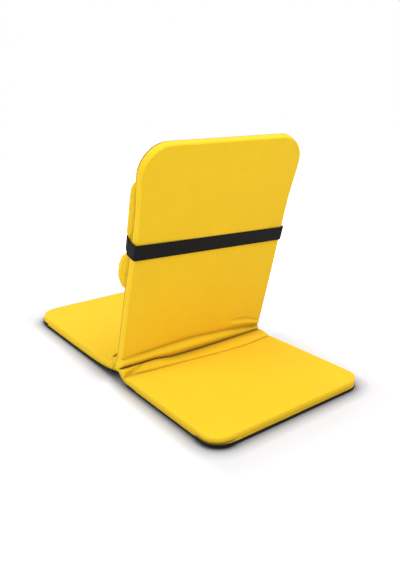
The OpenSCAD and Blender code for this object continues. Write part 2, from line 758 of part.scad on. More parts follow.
// A closed cushion: a front sheet (side -1) and a rear sheet (side 1), joined by the seam's band
lumbar_rows = len(lumbar_heights(0)) - 1;
function lumbar_point(side, u, z, bottom, top) =
    let (v = max(-1, min(1, 2 * (z - bottom) / (top - bottom) - 1)),
         x = u * (lumbar_w / 2 - lumbar_draw * (1 - v * v)))
    [x, side * (seam_band + lumbar_depth(u, v, x, z)) / 2 - seam_y(x, z), z];
function lumbar_sheet(side) =
    [for (j = [0:lumbar_rows]) for (i = [0:lumbar_n])
        let (u = sin(90 * (2 * i / lumbar_n - 1)), h = lumbar_heights(u))
        lumbar_point(side, u, h[j], h[0], h[lumbar_rows])];

module lumbar_form() {
    n = lumbar_n;
    m = lumbar_rows;
    w = n + 1;
    o = w * (m + 1);
    t = m * w;
    front = [for (j = [0:m - 1]) for (i = [0:n - 1])
        let (a = j * w + i, b = a + 1, c = a + w, d = c + 1) each [[a, c, b], [b, c, d]]];
    rear = [for (j = [0:m - 1]) for (i = [0:n - 1])
        let (a = o + j * w + i, b = a + 1, c = a + w, d = c + 1) each [[a, b, c], [b, d, c]]];
    low = [for (i = [0:n - 1]) each [[i, i + 1, o + i], [i + 1, o + i + 1, o + i]]];
    high = [for (i = [0:n - 1]) each [[t + i, o + t + i, t + i + 1], [t + i + 1, o + t + i, o + t + i + 1]]];
    left = [for (j = [0:m - 1]) each
        [[j * w, o + j * w, j * w + w], [j * w + w, o + j * w, o + j * w + w]]];
    right = [for (j = [0:m - 1]) let (a = j * w + n) each
        [[a, a + w, o + a], [a + w, o + a + w, o + a]]];
    polyhedron(points = concat(lumbar_sheet(-1), lumbar_sheet(1)),
        faces = concat(front, rear, low, high, left, right));
}

// The filling: a flat upper pad and a full lower roll, joined where the strap pinches the cushion
core_margin = 14;
roll_r = lumbar_lower_t / 4;
roll_z = lumbar_mid - lumbar_h / 2 + roll_r + core_margin + strap_w / 4;
seam_mid = lumbar_rear + seam_band / 2;
module lumbar_cores(g) {
    x = (lumbar_w - lumbar_lower_t) / 2 + g;
    neck_t = lumbar_pinch_t / 3;
    pad_t = lumbar_upper_t / 3;
    pad_z = strap_mid + pinch_half + pinch_fade;
    pad_top = lumbar_mid + lumbar_h / 2 - 2 * core_margin;
    translate([-x, -seam_mid - lumbar_lower_t / 2, roll_z]) rotate([0, 90, 0])
        cylinder(r = roll_r + g, h = 2 * x);
    translate([-x, -seam_mid - (lumbar_pinch_t + neck_t) / 2 - g, roll_z])
        cube([2 * x, neck_t + 2 * g, pad_z - roll_z + g]);
    translate([-x, -seam_mid - (lumbar_upper_t + pad_t) / 2 - g, pad_z - g])
        cube([2 * x, pad_t + 2 * g, pad_top - pad_z + 2 * g]);
}

// The slit of the cushion's closing, in its rear face behind the lower roll
slit_w = 300;
slit_h = 0.8;
module lumbar_slit() {
    translate([-slit_w / 2, -lumbar_rear - lumbar_lower_t / 2, roll_z - slit_h / 2])
        cube([slit_w, lumbar_rear + lumbar_lower_t / 2, slit_h]);
}

module lumbar_cover() {
    color(canvas_yellow) back_place()
        difference() {
            lumbar_form();
            lumbar_cores(layer_gap);
            lumbar_slit();
        }
}

module lumbar_filling() { color(foam_cream) back_place() lumbar_cores(0); }

// The strap: a closed band round the backrest and the cushion
strap_r = 18;
module strap_outline(g) {
    side = back_w / 2 - side_draw + tape_t + 2 * soft_gap;
    x = side / cos(strap_slant) + strap_w / 2 * tan(strap_slant) + g;
    y1 = back_t / 2 + crown + 2 * soft_gap + g;
    y0 = -lumbar_rear - lumbar_pinch_t - seam_band - soft_gap - g;
    near = back_edge_r + g;
    far = strap_r + g;
    polygon(concat(
        arc_points(x - near, y1 - near, near, 0, 90, corner_n),
        arc_points(near - x, y1 - near, near, 90, 180, corner_n),
        arc_points(far - x, y0 + far, far, 180, 270, corner_n),
        arc_points(x - far, y0 + far, far, 270, 360, corner_n)));
}

module lumbar_strap() {
    color(strap_black) back_place()
        translate([0, 0, strap_mid]) rotate([0, -strap_slant, 0]) translate([0, 0, -strap_w / 2])
            linear_extrude(strap_w)
                difference() {
                    strap_outline(strap_t);
                    strap_outline(0);
                }
}

seat_frame();
seat_foam();
seat_cover();
seat_base_cloth();
seat_corner_patch();
seat_hinge_arms();
rear_frame();
rear_foam();
rear_cover();
rear_base_cloth();
rear_corner_patch();
rear_hinge_arms();
back_frame();
back_foam();
back_cover();
back_seam_tape();
back_hinge_arms();
hinge_bolts();
hinge_nuts();
spacer_washers();
friction_discs();
disc_springs();
crease_cloth();
lumbar_cover();
lumbar_filling();
lumbar_strap();
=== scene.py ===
"""A folding floor chair in yellow canvas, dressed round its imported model.

Each operator makes one piece or one group of like pieces. Lengths are metres, +Z is up and -Y is the front.
"""

import json
import math

import bpy
import numpy as np
from bpy.props import FloatProperty, FloatVectorProperty, PointerProperty
from mathutils import Matrix, Vector


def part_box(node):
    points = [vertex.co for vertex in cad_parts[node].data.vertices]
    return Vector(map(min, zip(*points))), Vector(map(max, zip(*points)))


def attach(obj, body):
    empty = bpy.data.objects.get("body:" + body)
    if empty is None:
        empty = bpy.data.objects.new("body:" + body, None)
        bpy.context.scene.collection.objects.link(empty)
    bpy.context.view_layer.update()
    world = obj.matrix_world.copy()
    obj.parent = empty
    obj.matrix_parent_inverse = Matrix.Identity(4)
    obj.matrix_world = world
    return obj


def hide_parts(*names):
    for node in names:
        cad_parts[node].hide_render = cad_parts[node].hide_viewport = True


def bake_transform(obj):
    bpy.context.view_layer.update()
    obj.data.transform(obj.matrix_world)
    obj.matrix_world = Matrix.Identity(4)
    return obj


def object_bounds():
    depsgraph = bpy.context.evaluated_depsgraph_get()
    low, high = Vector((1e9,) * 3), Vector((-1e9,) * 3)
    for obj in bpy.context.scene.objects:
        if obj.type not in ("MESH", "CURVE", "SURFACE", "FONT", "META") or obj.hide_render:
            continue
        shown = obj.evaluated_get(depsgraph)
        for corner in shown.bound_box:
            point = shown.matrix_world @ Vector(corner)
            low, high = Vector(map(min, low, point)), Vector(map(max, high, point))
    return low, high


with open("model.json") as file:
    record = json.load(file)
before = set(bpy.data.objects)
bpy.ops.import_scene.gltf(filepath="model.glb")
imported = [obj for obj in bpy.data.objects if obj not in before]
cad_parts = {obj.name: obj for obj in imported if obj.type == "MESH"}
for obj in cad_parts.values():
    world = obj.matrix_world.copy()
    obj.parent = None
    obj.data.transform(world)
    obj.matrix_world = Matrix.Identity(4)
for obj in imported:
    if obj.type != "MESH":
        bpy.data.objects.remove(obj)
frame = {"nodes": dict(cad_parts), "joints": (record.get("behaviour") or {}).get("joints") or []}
cad_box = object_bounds()

bl_info = {
    "name": "Folding floor chair",
    "version": (1, 0, 0),
    "blender": (4, 5, 0),
    "location": "3D View > Sidebar > Floor chair",
    "description": "Makes the padded leaves, the lumbar cushion and the strap of a folding floor chair",
    "category": "Object",
}

# Sizes and places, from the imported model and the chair's own measures
MM = 0.001
joint_of = {joint["name"]: joint for joint in frame["joints"]}
hinge_y, hinge_z = joint_of["backrest_tilt"]["pos_m"][1:]
lean = math.atan2(joint_of["cushion_slide"]["axis"][1], joint_of["cushion_slide"]["axis"][2])
seat_low, seat_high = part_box("seat_cover")
rear_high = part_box("rear_cover")[1]
back_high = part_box("back_cover")[1]
leaf_half_width = seat_high.x
back_half_width = back_high.x
seat_length = hinge_y - seat_low.y
rear_length = rear_high.y - hinge_y
back_length = 572 * MM
back_half = 12.5 * MM
back_corner = 68 * MM
rear_corner = 43 * MM
seat_corner = 62 * MM
base_corner = 44 * MM
leaf_top = 27 * MM
edge_round = 3.4 * MM
rim_height = 7 * MM
side_swell = 3.6 * MM
back_swell = 3.4 * MM
end_inset = 2.7 * MM
back_up = np.array([0, math.sin(lean), math.cos(lean)])
back_out = np.array([0, math.cos(lean), -math.sin(lean)])
to_rear = np.array([0, 1.0, 0])
strap_up = 321 * MM
strap_slant = math.radians(2.8)
strap_width = 38 * MM
strap_thick = 1.6 * MM
base_thick = 0.8 * MM
cover_lift = 1.2 * MM
base_margin = 2.6 * MM

# The backrest's sides are drawn in round this height, by this much, and over these stretches below and above
draw_middle, draw_depth = 390 * MM, 6.6 * MM
draw_below, draw_above = 150 * MM, 85 * MM

# The crowns of the plain faces are eased in over these stretches, and ripples of this height, length and seed
# lie over them
back_ease_low, back_ease_high, rear_ease, seat_ease = 90 * MM, 110 * MM, 70 * MM, 80 * MM
back_ripple, rear_ripple, seat_ripple = (0.35 * MM, 0.16, 5), (0.45 * MM, 0.2, 11), (0.4 * MM, 0.2, 23)

# At the hinge line the cover bulges out at the sides, its edge changes from one kind to the other over so
# many rows, and the leaves' undersides are drawn up off the floor
hinge_bulge, hinge_bulge_reach = 4.5 * MM, 24 * MM
change_rows = 40
rear_sink = 16 * MM
seat_rise, seat_sink = 25 * MM, 55 * MM

# The seam in the backrest's band lies this far behind its front face, in a groove of this half width
seam_depth, seam_groove = 5.9 * MM, 0.7 * MM

# The hem of a leaf's band: height above the base cloth's rim and offset from the band, in millimetres
hem_steps = [(3.3, -2.6), (2.5, -3.0), (1.9, -1.2), (0.8, -0.8), (0.0, -2.2)]

# The lines of the loose cloth behind the hinge, from the -X side to the +X side, in millimetres: how far each
# lies from the hinge line, up the backrest for the first two and the short ones, and out along the leaf for
# the thin line and the side fold
upper_line = [(-225, 3), (-172, 12), (-114, 22), (-60, 26), (-4, 32), (39, 34), (86, 33.5), (173, 31),
              (225, 31)]
deep_line = [(-225, -9.8), (-60, -9.8), (35, -8), (78, -6), (104, 0), (128, 6), (170, 6), (225, 9)]
thin_line = [(-225, 60), (-147, 68), (-95, 67), (-31, 61), (23, 54), (80, 46), (130, 42), (165, 38),
             (225, 28)]
short_wrinkle = [(-225, 23), (-188, 39), (-159, 48), (-132, 53), (-100, 54)]
short_roll = [(-225, 17), (-190, 30), (-160, 37), (-132, 40), (-100, 40)]
side_fold = [(140, 4), (157, 12), (177, 20), (200, 30), (225, 33)]

# The loose cloth's start up the backrest, its end out on the leaf, and its rows from each line to the next
crease_top, crease_end = 84 * MM, 100 * MM
crease_counts = (40, 40, 52, 18)

# Heights and widths of its forms: the dip at the upper line, the rolls, the crease between them, the short
# wrinkle, the side fold and the valley at the thin line
dip_reach = 8 * MM
roll_least, roll_most = 3.6 * MM, 12.5 * MM
low_roll, low_roll_share = 3.0 * MM, 0.04
notch_above, notch_below = 6.5 * MM, 3.8 * MM
thin_drop = 1.0 * MM
wrinkle_rise, wrinkle_rise_width = 3.6 * MM, 6.5 * MM
wrinkle_dip, wrinkle_dip_width = 3.0 * MM, 4.5 * MM
fold_rise, fold_rise_width = 2.6 * MM, 5 * MM
fold_dip, fold_dip_width = 5.2 * MM, 3.6 * MM
fold_spacing = 8 * MM
valley_depth, valley_more, valley_width = 4.2 * MM, 1.0 * MM, 1.8 * MM

# The seat's gathered end with its pleats and the tucks at its sides, the drop of its front corners, and the
# short slanted slit by each side: place, direction, length, width and depth
seat_start, seat_flare, seat_lift = 15 * MM, 5 * MM, 1.5 * MM
gather_rise, gather_rise_reach = 11 * MM, 30 * MM
pleat_spacing, pleat_reach = 16 * MM, 24 * MM
tuck_spacing, tuck_out, tuck_down = 12 * MM, 2.2 * MM, 2.4 * MM
corner_drop, corner_drop_reach = 3 * MM, 110 * MM
slit_x, slit_away = 181 * MM, 93 * MM
slit_across, slit_back = 0.81, 0.59
slit_length, slit_width, slit_depth = 18.6 * MM, 2.0 * MM, 14 * MM
slit_rim, slit_rim_width, slit_rim_reach = 1.8 * MM, 5 * MM, 7 * MM

# Dents across the seat's edge near the hinge: distance from the hinge line, width and depth in millimetres
nicks = [(23, 1.7, 9), (38, 1.7, 9), (50, 1.7, 2)]
edge_puckers = [(23, 1.7, 10), (30, 1.6, 3), (38, 1.7, 10), (50, 3, 2)]


def along_line(line, x):
    """Height or distance of a cloth line at x: straight between its points, then averaged under a bell."""
    places, values = (np.array(column, float) * MM for column in zip(*line))
    fine = np.linspace(places[0], places[-1], 181)
    kernel = np.hanning(25)
    padded = np.pad(np.interp(fine, places, values), 12, mode="edge")
    return np.interp(x, fine, np.convolve(padded, kernel / kernel.sum(), "valid"))


def smooth(t):
    """An ease from 0 to 1 with level ends: three times the square less twice the cube."""
    t = np.clip(t, 0.0, 1.0)
    return t * t * (3 - 2 * t)


def peak(distance, width):
    """A bell, 1 where the distance is 0: the exponential of less the square of distance over width."""
    return np.exp(-(distance / width) ** 2)


def dents(distance, table):
    """Bells added up, from a table of place, width and depth in millimetres."""
    return sum(depth * MM * peak(distance - place * MM, width * MM) for place, width, depth in table)


def back_place(x, up, out):
    """Points of the backrest's own plane: across, up from the hinge line, and out to the rear."""
    x, up, out = np.broadcast_arrays(x, up, out)
    return np.stack([
        x, hinge_y + up * math.sin(lean) + out * math.cos(lean),
        hinge_z + up * math.cos(lean) - out * math.sin(lean)], -1)


def leaf_place(x, away, height, side=1):
    """Points of a leaf: across, away from the hinge line to the rear (side 1) or front (-1), and up."""
    x, away, height = np.broadcast_arrays(x, away, height)
    return np.stack([x, hinge_y + side * away, height], -1)


def unit(vectors):
    """The same directions at length 1."""
    return vectors / np.maximum(np.linalg.norm(vectors, axis=-1, keepdims=True), 1e-12)


# Meshes
def grid_quads(rows, columns, first=0):
    """The quads of a grid of points that are numbered row by row."""
    corner = first + np.arange(rows - 1)[:, None] * columns + np.arange(columns - 1)
    return np.stack([corner, corner + 1, corner + columns + 1, corner + columns], -1).reshape(-1, 4)


def band_quads(near, far):
    """The quads between two closed rings, given by the numbers of their points."""
    return np.stack([near, np.roll(near, -1, -1), np.roll(far, -1, -1), far], -1).reshape(-1, 4)


def tube_quads(rings, around, first=0):
    """The quads between closed rings of points that are numbered ring by ring."""
    near = first + np.arange(rings - 1)[:, None] * around + np.arange(around)
    return band_quads(near, near + around)


def border_of(rows, columns):
    """The numbers of a grid's border points, once round from the first."""
    number = np.arange(rows * columns).reshape(rows, columns)
    return np.concatenate([number[0, :-1], number[:-1, -1], number[-1, :0:-1], number[:0:-1, 0]])


def volume_of(points, quads):
    """Six times the volume inside closed quads, from triple products: above 0 where they face out."""
    a, b, c, d = (points[quads[:, k]] for k in range(4))
    return np.einsum("ij,ij->", a, np.cross(b, c)) + np.einsum("ij,ij->", a, np.cross(c, d))


def faces_out(points, quads):
    """Turns the quads over if they enclose a negative volume."""
    return quads if volume_of(points, quads) > 0 else quads[:, ::-1]


def facing(points, quad):
    """The direction that a quad faces: the cross product of two of its sides."""
    a, b, c = points[quad[:3]]
    return np.cross(b - a, c - a)


def travel_along(path):
    """Length along a path at each of its points, from 0."""
    return np.append(0, np.cumsum(np.linalg.norm(np.diff(path, axis=0), axis=-1)))


def thicken(piece, thickness):
    """Makes a sheet solid, to its inner side."""
    solid = piece.modifiers.new("cloth thickness", "SOLIDIFY")
    solid.thickness = thickness
    solid.offset = -1


def new_piece(name, points, quads, uv=None):
    """A smooth mesh object at the origin, with an optional UV map of cloth lengths in metres."""
    mesh = bpy.data.meshes.new(name)
    mesh.from_pydata(np.asarray(points).tolist(), [], np.asarray(quads).tolist())
    mesh.shade_smooth()
    if uv is not None:
        corner = np.empty(len(mesh.loops), np.int32)
        mesh.loops.foreach_get("vertex_index", corner)
        mesh.uv_layers.new(name="cloth").data.foreach_set("uv", uv[corner].astype(np.float32).ravel())
    piece = bpy.data.objects.new(name, mesh)
    bpy.context.scene.collection.objects.link(piece)
    return piece


# Rows of a grid round each rounded corner
arc_rows = 14


def round_rows(length, near_radius, far_radius, middle):
    """Rows of a rounded rectangle from its near end to its far end.

    Returns the distance of each row from the near end, how far its sides are drawn in, and the turn of its
    sides' outward direction: -90 degrees at the near end, 0 along the straight sides, 90 at the far end.
    """
    near_turn = np.radians(np.linspace(-90, 0, arc_rows, endpoint=False))
    far_turn = np.radians(np.linspace(90, 0, arc_rows, endpoint=False)[::-1])
    near = near_radius * (1 + np.sin(near_turn)), near_radius * (1 - np.cos(near_turn)), near_turn
    straight = middle, 0 * middle, 0 * middle
    far = length - far_radius * (1 - np.sin(far_turn)), far_radius * (1 - np.cos(far_turn)), far_turn
    return [np.concatenate(parts) for parts in zip(near, straight, far)]


def shares_across(count):
    """Column places from -1 to 1, closer together near both sides."""
    t = np.linspace(-1, 1, count)
    return t * (1.16 - 0.16 * t * t)


def border_directions(turns, columns, near, far):
    """Outward directions round a grid's border: the cosine of the turn across, its sine towards an end."""
    across = np.array([1.0, 0, 0])
    along = np.where(turns[:, None] < 0, near, far) * np.abs(np.sin(turns))[:, None]
    right, left = (across * sign * np.cos(turns)[:, None] + along for sign in (1, -1))
    near_end, far_end = (np.repeat(end[None], columns - 1, 0) for end in (near, far))
    return unit(np.concatenate([near_end, right[:-1], far_end, left[:0:-1]]))


def rounded_edge(radius):
    """Steps round the face's edge, a quarter circle: share of the way to the back, depth, and offset."""
    return [(0, radius * (1 - math.cos(t)), radius * math.sin(t)) for t in np.radians([14, 30, 48, 68, 90])]


def back_edge():
    """Steps of the backrest's edge: a small rounding, a band that swells, the seam, a second rounding."""
    band = [(0.35, 0, edge_round + 1.2 * MM), (0.55, 0, edge_round + 1.9 * MM)]
    seam = [(1, -seam_depth - seam_groove, edge_round + 1.9 * MM), (1, -seam_depth, edge_round + 1.1 * MM),
            (1, -seam_depth + seam_groove, edge_round + 1.8 * MM)]
    far = [(1, -depth, offset) for _, depth, offset in rounded_edge(5 * MM)[::-1]]
    return rounded_edge(edge_round) + band + seam + far


def leaf_edge(flare=0.0):
    """Steps of a leaf's edge: a small rounding, a band that may flare, the hem, and the part tucked in."""
    rim = rim_height - cover_lift
    band = [(0.3, 0, edge_round - 0.1 * MM + 0.4 * flare), (0.5, 0, edge_round - 1.1 * MM + 0.75 * flare),
            (0.62, 0, edge_round - 2.1 * MM + flare)]
    hem = [(1, -rim - rise * MM, edge_round + offset * MM + flare) for rise, offset in hem_steps]
    inside = [(1, -rim + 1.5 * MM, -2.4 * MM + flare), (1, -2 * MM, -2.8 * MM + flare),
              (1, -0.4 * MM, -4 * MM + flare)]
    return rounded_edge(edge_round) + band + hem + inside


def slab(name, face, back, outward, steps, cloth, puckers=0.0):
    """A padded slab: a face grid and a back grid joined by rings round their border.

    A ring's point lies at a share of the way from the face's border to the back's, moved on by a depth and
    outwards by an offset. Where the slab is thinner than 20 mm the depths shrink with it. The puckers are how
    far the band is pulled in at each border point: fully in its middle, less towards its first and last ring.
    """
    rows, columns = face.shape[:2]
    border = border_of(rows, columns)
    near, far = face.reshape(-1, 3)[border], back.reshape(-1, 3)[border]
    thick = np.linalg.norm(far - near, axis=-1, keepdims=True)
    through = unit(far - near)
    shrink = np.minimum(1, thick / (20 * MM))
    rings = [near + (far - near) * share + through * depth * shrink
             + outward * (offset - puckers * min(1, 3 * (k + 1) / len(steps), 2.5 * (1 - k / len(steps))))
             for k, (share, depth, offset) in enumerate(steps)]
    flat = cloth.reshape(-1, 2)
    share = (flat[border] - flat.mean(0)) / np.ptp(flat, axis=0)
    sideways = (np.abs(share[:, 0]) > np.abs(share[:, 1]))[:, None]
    flow = np.where(sideways, np.sign(share) * [1, 0], np.sign(share) * [0, 1])
    travel = np.cumsum([np.linalg.norm(b - a, axis=-1) for a, b in zip([near] + rings[:-1], rings)], axis=0)
    points = np.concatenate([face.reshape(-1, 3), *rings, back.reshape(-1, 3)])
    uv = np.concatenate([flat, *(flat[border] + flow * t[:, None] for t in travel), flat])
    around, first = len(border), rows * columns
    last = first + around * len(rings)
    place = np.arange(around)
    quads = np.concatenate([
        grid_quads(rows, columns)[:, ::-1], band_quads(border, first + place),
        tube_quads(len(rings), around, first), band_quads(last - around + place, last + border),
        grid_quads(rows, columns, last)])
    return new_piece(name, points, faces_out(points, quads), uv)


def tray(name, rings, floor, thickness):
    """A cloth tray: rings round a border from its rim down, then a floor grid, made solid to the inside.

    The cloth's own lengths on the rim are those of the floor, moved out by the depth below the rim.
    """
    rows, columns = floor.shape[:2]
    border = border_of(rows, columns)
    around, last = len(border), len(border) * len(rings)
    points = np.concatenate([*rings, floor.reshape(-1, 3)])
    quads = np.concatenate([
        tube_quads(len(rings), around), band_quads(last - around + np.arange(around), last + border),
        grid_quads(rows, columns, last)])
    if facing(points, quads[-1])[2] > 0:
        quads = quads[:, ::-1]
    uv = points[:, :2].copy()
    uv[:last] += np.sign(uv[:last]) * (rim_height - points[:last, 2:])
    piece = new_piece(name, points, quads, uv)
    thicken(piece, thickness)
    return piece


# The covers
def strap_draw(up):
    """How far the backrest's sides are drawn in at a height above the hinge line.

    A lopsided bell: below its middle it falls off with the square of the distance, above it with the cube.
    """
    off = up - draw_middle
    below, above = np.exp(-(off / draw_below) ** 2), np.exp(-np.abs(off / draw_above) ** 3)
    return draw_depth * np.where(off < 0, below, above)


def rear_underside(away):
    """Height of the rear leaf's underside: the backrest's lower end at the hinge, sinking exponentially."""
    return (hinge_z - back_half) * np.exp(-away / rear_sink)


def seat_underside(away):
    """Height of the seat's underside: drawn up at the hinge, sinking exponentially over a longer stretch."""
    return seat_rise * np.exp(-away / seat_sink)


def crease_rows(x):
    """Face points of the loose cloth in the corner behind the hinge, for the columns at x.

    Each column runs down the backrest to the upper line, over a roll to the deep crease, over a second roll
    to the thin line on the leaf, and on to the plain leaf. A roll is a sine of the way between two lines,
    raised square to the chord, and the crease is a rounded notch. The upper line is a dip that falls off with
    the distance to the power 1.25. At the -X side a short roll and a short wrinkle are bells along their own
    lines, and at the +X side a fold is one bell up beside one bell down. The thin line is a narrow bell down.
    """
    sizes = bpy.context.scene.chair_sizes
    upper, deep, thin = (along_line(line, x) for line in (upper_line, deep_line, thin_line))
    t = [np.linspace(0, 1, n, endpoint=False)[:, None] for n in crease_counts]
    t[2] = t[2] - 0.12 * np.sin(2 * math.pi * t[2])
    t[3] = t[3] ** 1.8
    notch = unit(back_out + np.array([0, 0, 1.0]))
    low_side = smooth((-70 * MM - x) / (90 * MM))
    high_side = smooth((x - 150 * MM) / (60 * MM))
    fade = smooth((-95 * MM - x) / (50 * MM)) * smooth((x + 232 * MM) / (20 * MM))
    dip = sizes.line_depth * (1 + 0.05 * low_side - 0.45 * high_side)
    pressed = sizes.crease_depth * (1 - 0.4 * peak(x - 85 * MM, 30 * MM))

    up = crease_top + (upper - crease_top) * t[0] ** 0.8
    rolled = wrinkle_rise * peak(up - along_line(short_roll, x), wrinkle_rise_width)
    wrinkle = fade * (rolled - wrinkle_dip * peak(up - along_line(short_wrinkle, x), wrinkle_dip_width))
    sunk = dip * np.exp(-(np.abs(up - upper) / dip_reach) ** 1.25)
    first = back_place(x, up, back_half + wrinkle * smooth((up - upper) / (5 * MM)) - sunk)

    length = upper - deep
    up = upper - length * t[1]
    full = np.clip(sizes.roll_share * length, roll_least, roll_most)
    rise = full * np.sin(math.pi * t[1] ** 0.7) ** 0.8
    second = back_place(x, up, back_half - dip * (1 - t[1]) ** 3 + rise)
    second = second - notch * (pressed * peak((1 - t[1]) * length, notch_above))[..., None]

    start, stop = back_place(x, deep, back_half), leaf_place(x, thin, leaf_top - thin_drop)
    chord = stop - start
    reach = np.linalg.norm(chord, axis=-1)
    square = unit(np.stack([0 * reach, -chord[..., 2], chord[..., 1]], -1))
    rise = (low_roll + low_roll_share * reach) * np.sin(math.pi * t[2] ** 0.8) ** 0.65
    third = start + chord * t[2][..., None] + square * rise[..., None]
    third = third - notch * (pressed * peak(t[2] * reach, notch_below))[..., None]
    near_fold = third[..., 1] - hinge_y - along_line(side_fold, x)
    folded = (fold_rise * peak(near_fold + fold_spacing, fold_rise_width)
              - fold_dip * peak(near_fold, fold_dip_width))
    fold = smooth((x - 125 * MM) / (65 * MM)) * folded
    third = third + square * (fold * smooth(t[2] * 2.2) * smooth((1 - t[2]) * 8))[..., None]

    valley = valley_depth + valley_more * smooth((x - 140 * MM) / (40 * MM))
    third[..., 2] -= valley * peak((1 - t[2]) * reach, valley_width)
    away = thin + (crease_end - thin) * t[3]
    height = leaf_top - thin_drop * (1 - smooth(t[3] * 2)) - valley * peak(away - thin, valley_width)
    return np.concatenate([first, second, third, leaf_place(x, away, height)])


def crease_back_rows(x):
    """Back points for the rows of the crease: down the backrest's front, round its end, under the leaf.

    The bend is an arc of the backrest's half thickness round the hinge line, then the leaf's underside, and
    its rows lie at even lengths along both.
    """
    t = [np.linspace(0, 1, n, endpoint=False)[:, None] for n in crease_counts]
    turn = np.radians(np.linspace(180 - math.degrees(lean), 270, 24))
    bend = np.stack([0 * turn, hinge_y + back_half * np.cos(turn), hinge_z + back_half * np.sin(turn)], -1)
    bend_end = 60 * MM
    away = np.linspace(0, bend_end, 60)[1:]
    under = leaf_place(0, away, rear_underside(away) + cover_lift)
    path = np.concatenate([bend, under])
    travel = travel_along(path)
    along = t[2] * travel[-1]
    third = np.stack([x + 0 * along, np.interp(along, travel, path[:, 1]) + 0 * x,
                      np.interp(along, travel, path[:, 2]) + 0 * x], -1)
    middle = 30 * MM
    away = bend_end + (crease_end - bend_end) * t[3]
    return np.concatenate([
        back_place(x, crease_top + (middle - crease_top) * t[0], -back_half),
        back_place(x, middle * (1 - t[1]), -back_half), third,
        leaf_place(x, away, rear_underside(away) + cover_lift)])


def ripples(x, y, size, seed):
    """A gentle unevenness of stuffed cloth: a sum of slow waves in seeded directions, about 1 high."""
    random = np.random.default_rng(seed)
    total = np.zeros(np.broadcast(x, y).shape)
    for turn, phase, stretch in random.uniform([0, 0, 0.6], [math.pi, 2 * math.pi, 1.8], (7, 3)):
        total += np.sin((x * math.cos(turn) + y * math.sin(turn)) * 2 * math.pi / size * stretch + phase)
    return total / 3.5


def crowned(share, level, x, along, ripple):
    """Height of a padded face over its edge, eased in from its ends by the level of each row.

    It is a crown of one less the square of the share of the way to the side, and ripples that the same share
    to the power 8 ends at the side.
    """
    height, size, seed = ripple
    crown = bpy.context.scene.chair_sizes.crown * (1 - share ** 2) * level[:, None]
    return crown + height * ripples(x, along[:, None], size, seed) * level[:, None] * (1 - share ** 8)


def back_and_rear_cover():
    """The one cover of the backrest and the rear leaf: a bent slab with loose cloth in its inner corner.

    Its rows run from the backrest's rounded top down to the loose cloth, through it, and on to the leaf's
    rounded end. Each plain face is crowned. At the hinge the slab bulges sideways in a bell.
    """
    inset = edge_round
    columns = shares_across(121)
    top_radius, end_radius = back_corner - inset, rear_corner - inset
    back_rows = round_rows(back_length, top_radius, 0,
                           np.linspace(top_radius, back_length - inset - crease_top, 62, endpoint=False))
    distance, drawn, turns = (part[:-arc_rows] for part in back_rows)
    up = back_length - inset - distance
    half = back_half_width + back_swell - inset - drawn - strap_draw(up)
    x = half[:, None] * columns
    share = x / back_half_width
    level = smooth((up - crease_top) / back_ease_low) * smooth((back_length - inset - up) / back_ease_high)
    swell = crowned(share, level, x, up, back_ripple)
    top_face = back_place(x, up[:, None], back_half + swell)
    top_back = back_place(x, up[:, None], -back_half - swell)

    end = rear_length - end_inset
    leaf_distance, leaf_drawn, leaf_turns = (part[arc_rows:] for part in round_rows(
        end - crease_end, 0, end_radius, np.linspace(0, end - crease_end - end_radius, 46)))
    away = crease_end + leaf_distance
    leaf_half = leaf_half_width + side_swell - inset
    leaf_x = (leaf_half - leaf_drawn)[:, None] * columns
    share = leaf_x / leaf_half
    level = smooth((away - crease_end) / rear_ease) * smooth((end - away) / rear_ease)
    swell = crowned(share, level, leaf_x, away, rear_ripple)
    end_face = leaf_place(leaf_x, away[:, None], leaf_top + swell)
    end_back = leaf_place(leaf_x, away[:, None], rear_underside(away)[:, None] + cover_lift)

    counts = crease_counts
    stations = (crease_top, 36 * MM, 0, 55 * MM, crease_end)
    from_corner = np.concatenate([np.linspace(*ends) for ends in zip(stations, stations[1:], counts)])
    widths = half[-1] + (leaf_half - half[-1]) * smooth(np.linspace(0, 1, sum(counts)))
    widths = widths + hinge_bulge * peak(from_corner, hinge_bulge_reach)
    crease_x = widths[:, None] * columns
    face = np.concatenate([top_face, widened(crease_rows, crease_x), end_face])
    back = np.concatenate([top_back, widened(crease_back_rows, crease_x), end_back])
    turns = np.concatenate([turns, np.zeros(sum(counts)), leaf_turns])
    length = travel_along(face[:, len(columns) // 2])
    cloth = np.stack(np.broadcast_arrays(face[..., 0], length[:, None]), -1)
    outward = border_directions(turns, len(columns), back_up, to_rear)
    corner_row = len(top_face) + counts[0] + counts[1]
    leaf_share = smooth((np.arange(len(turns)) - corner_row) / change_rows + 0.5)
    edge = mixed_edges(back_edge(), leaf_edge(), leaf_share, len(columns))
    piece = slab("back_and_rear_cover", face, back, outward, edge, cloth)
    dress(piece, "yellow_canvas", canvas(), "back_cover", "crease_cloth", "rear_cover", "back_foam",
          "rear_foam")
    back_place(0, 8 * MM, back_half).tolist()
    leaf_place(0, 34 * MM, leaf_top).tolist()
    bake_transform(piece)
    return piece


def mixed_edges(first, second, shares, columns):
    """Edge steps that change from the first kind to the second along the rows, spread round the border."""
    near, far = np.full(columns - 1, shares[0]), np.full(columns - 1, shares[-1])
    round_border = np.concatenate([near, shares[:-1], far, shares[:0:-1]])[:, None]
    return [tuple(a + (b - a) * round_border for a, b in zip(one, two)) for one, two in zip(first, second)]


def widened(rows_at, x):
    """Rows worked out for the columns of the first row, with each point then moved to its own x."""
    points = rows_at(x[0])
    points[..., 0] = x
    return points


def slit_distance(x, away):
    """Distance from the slit by the seat's side, a straight line that slants out towards the hinge."""
    across, out = np.abs(x) - slit_x, away - slit_away
    along = np.clip((across * slit_across - out * slit_back) / slit_length, 0, 1) * slit_length
    return np.hypot(across - along * slit_across, out + along * slit_back)


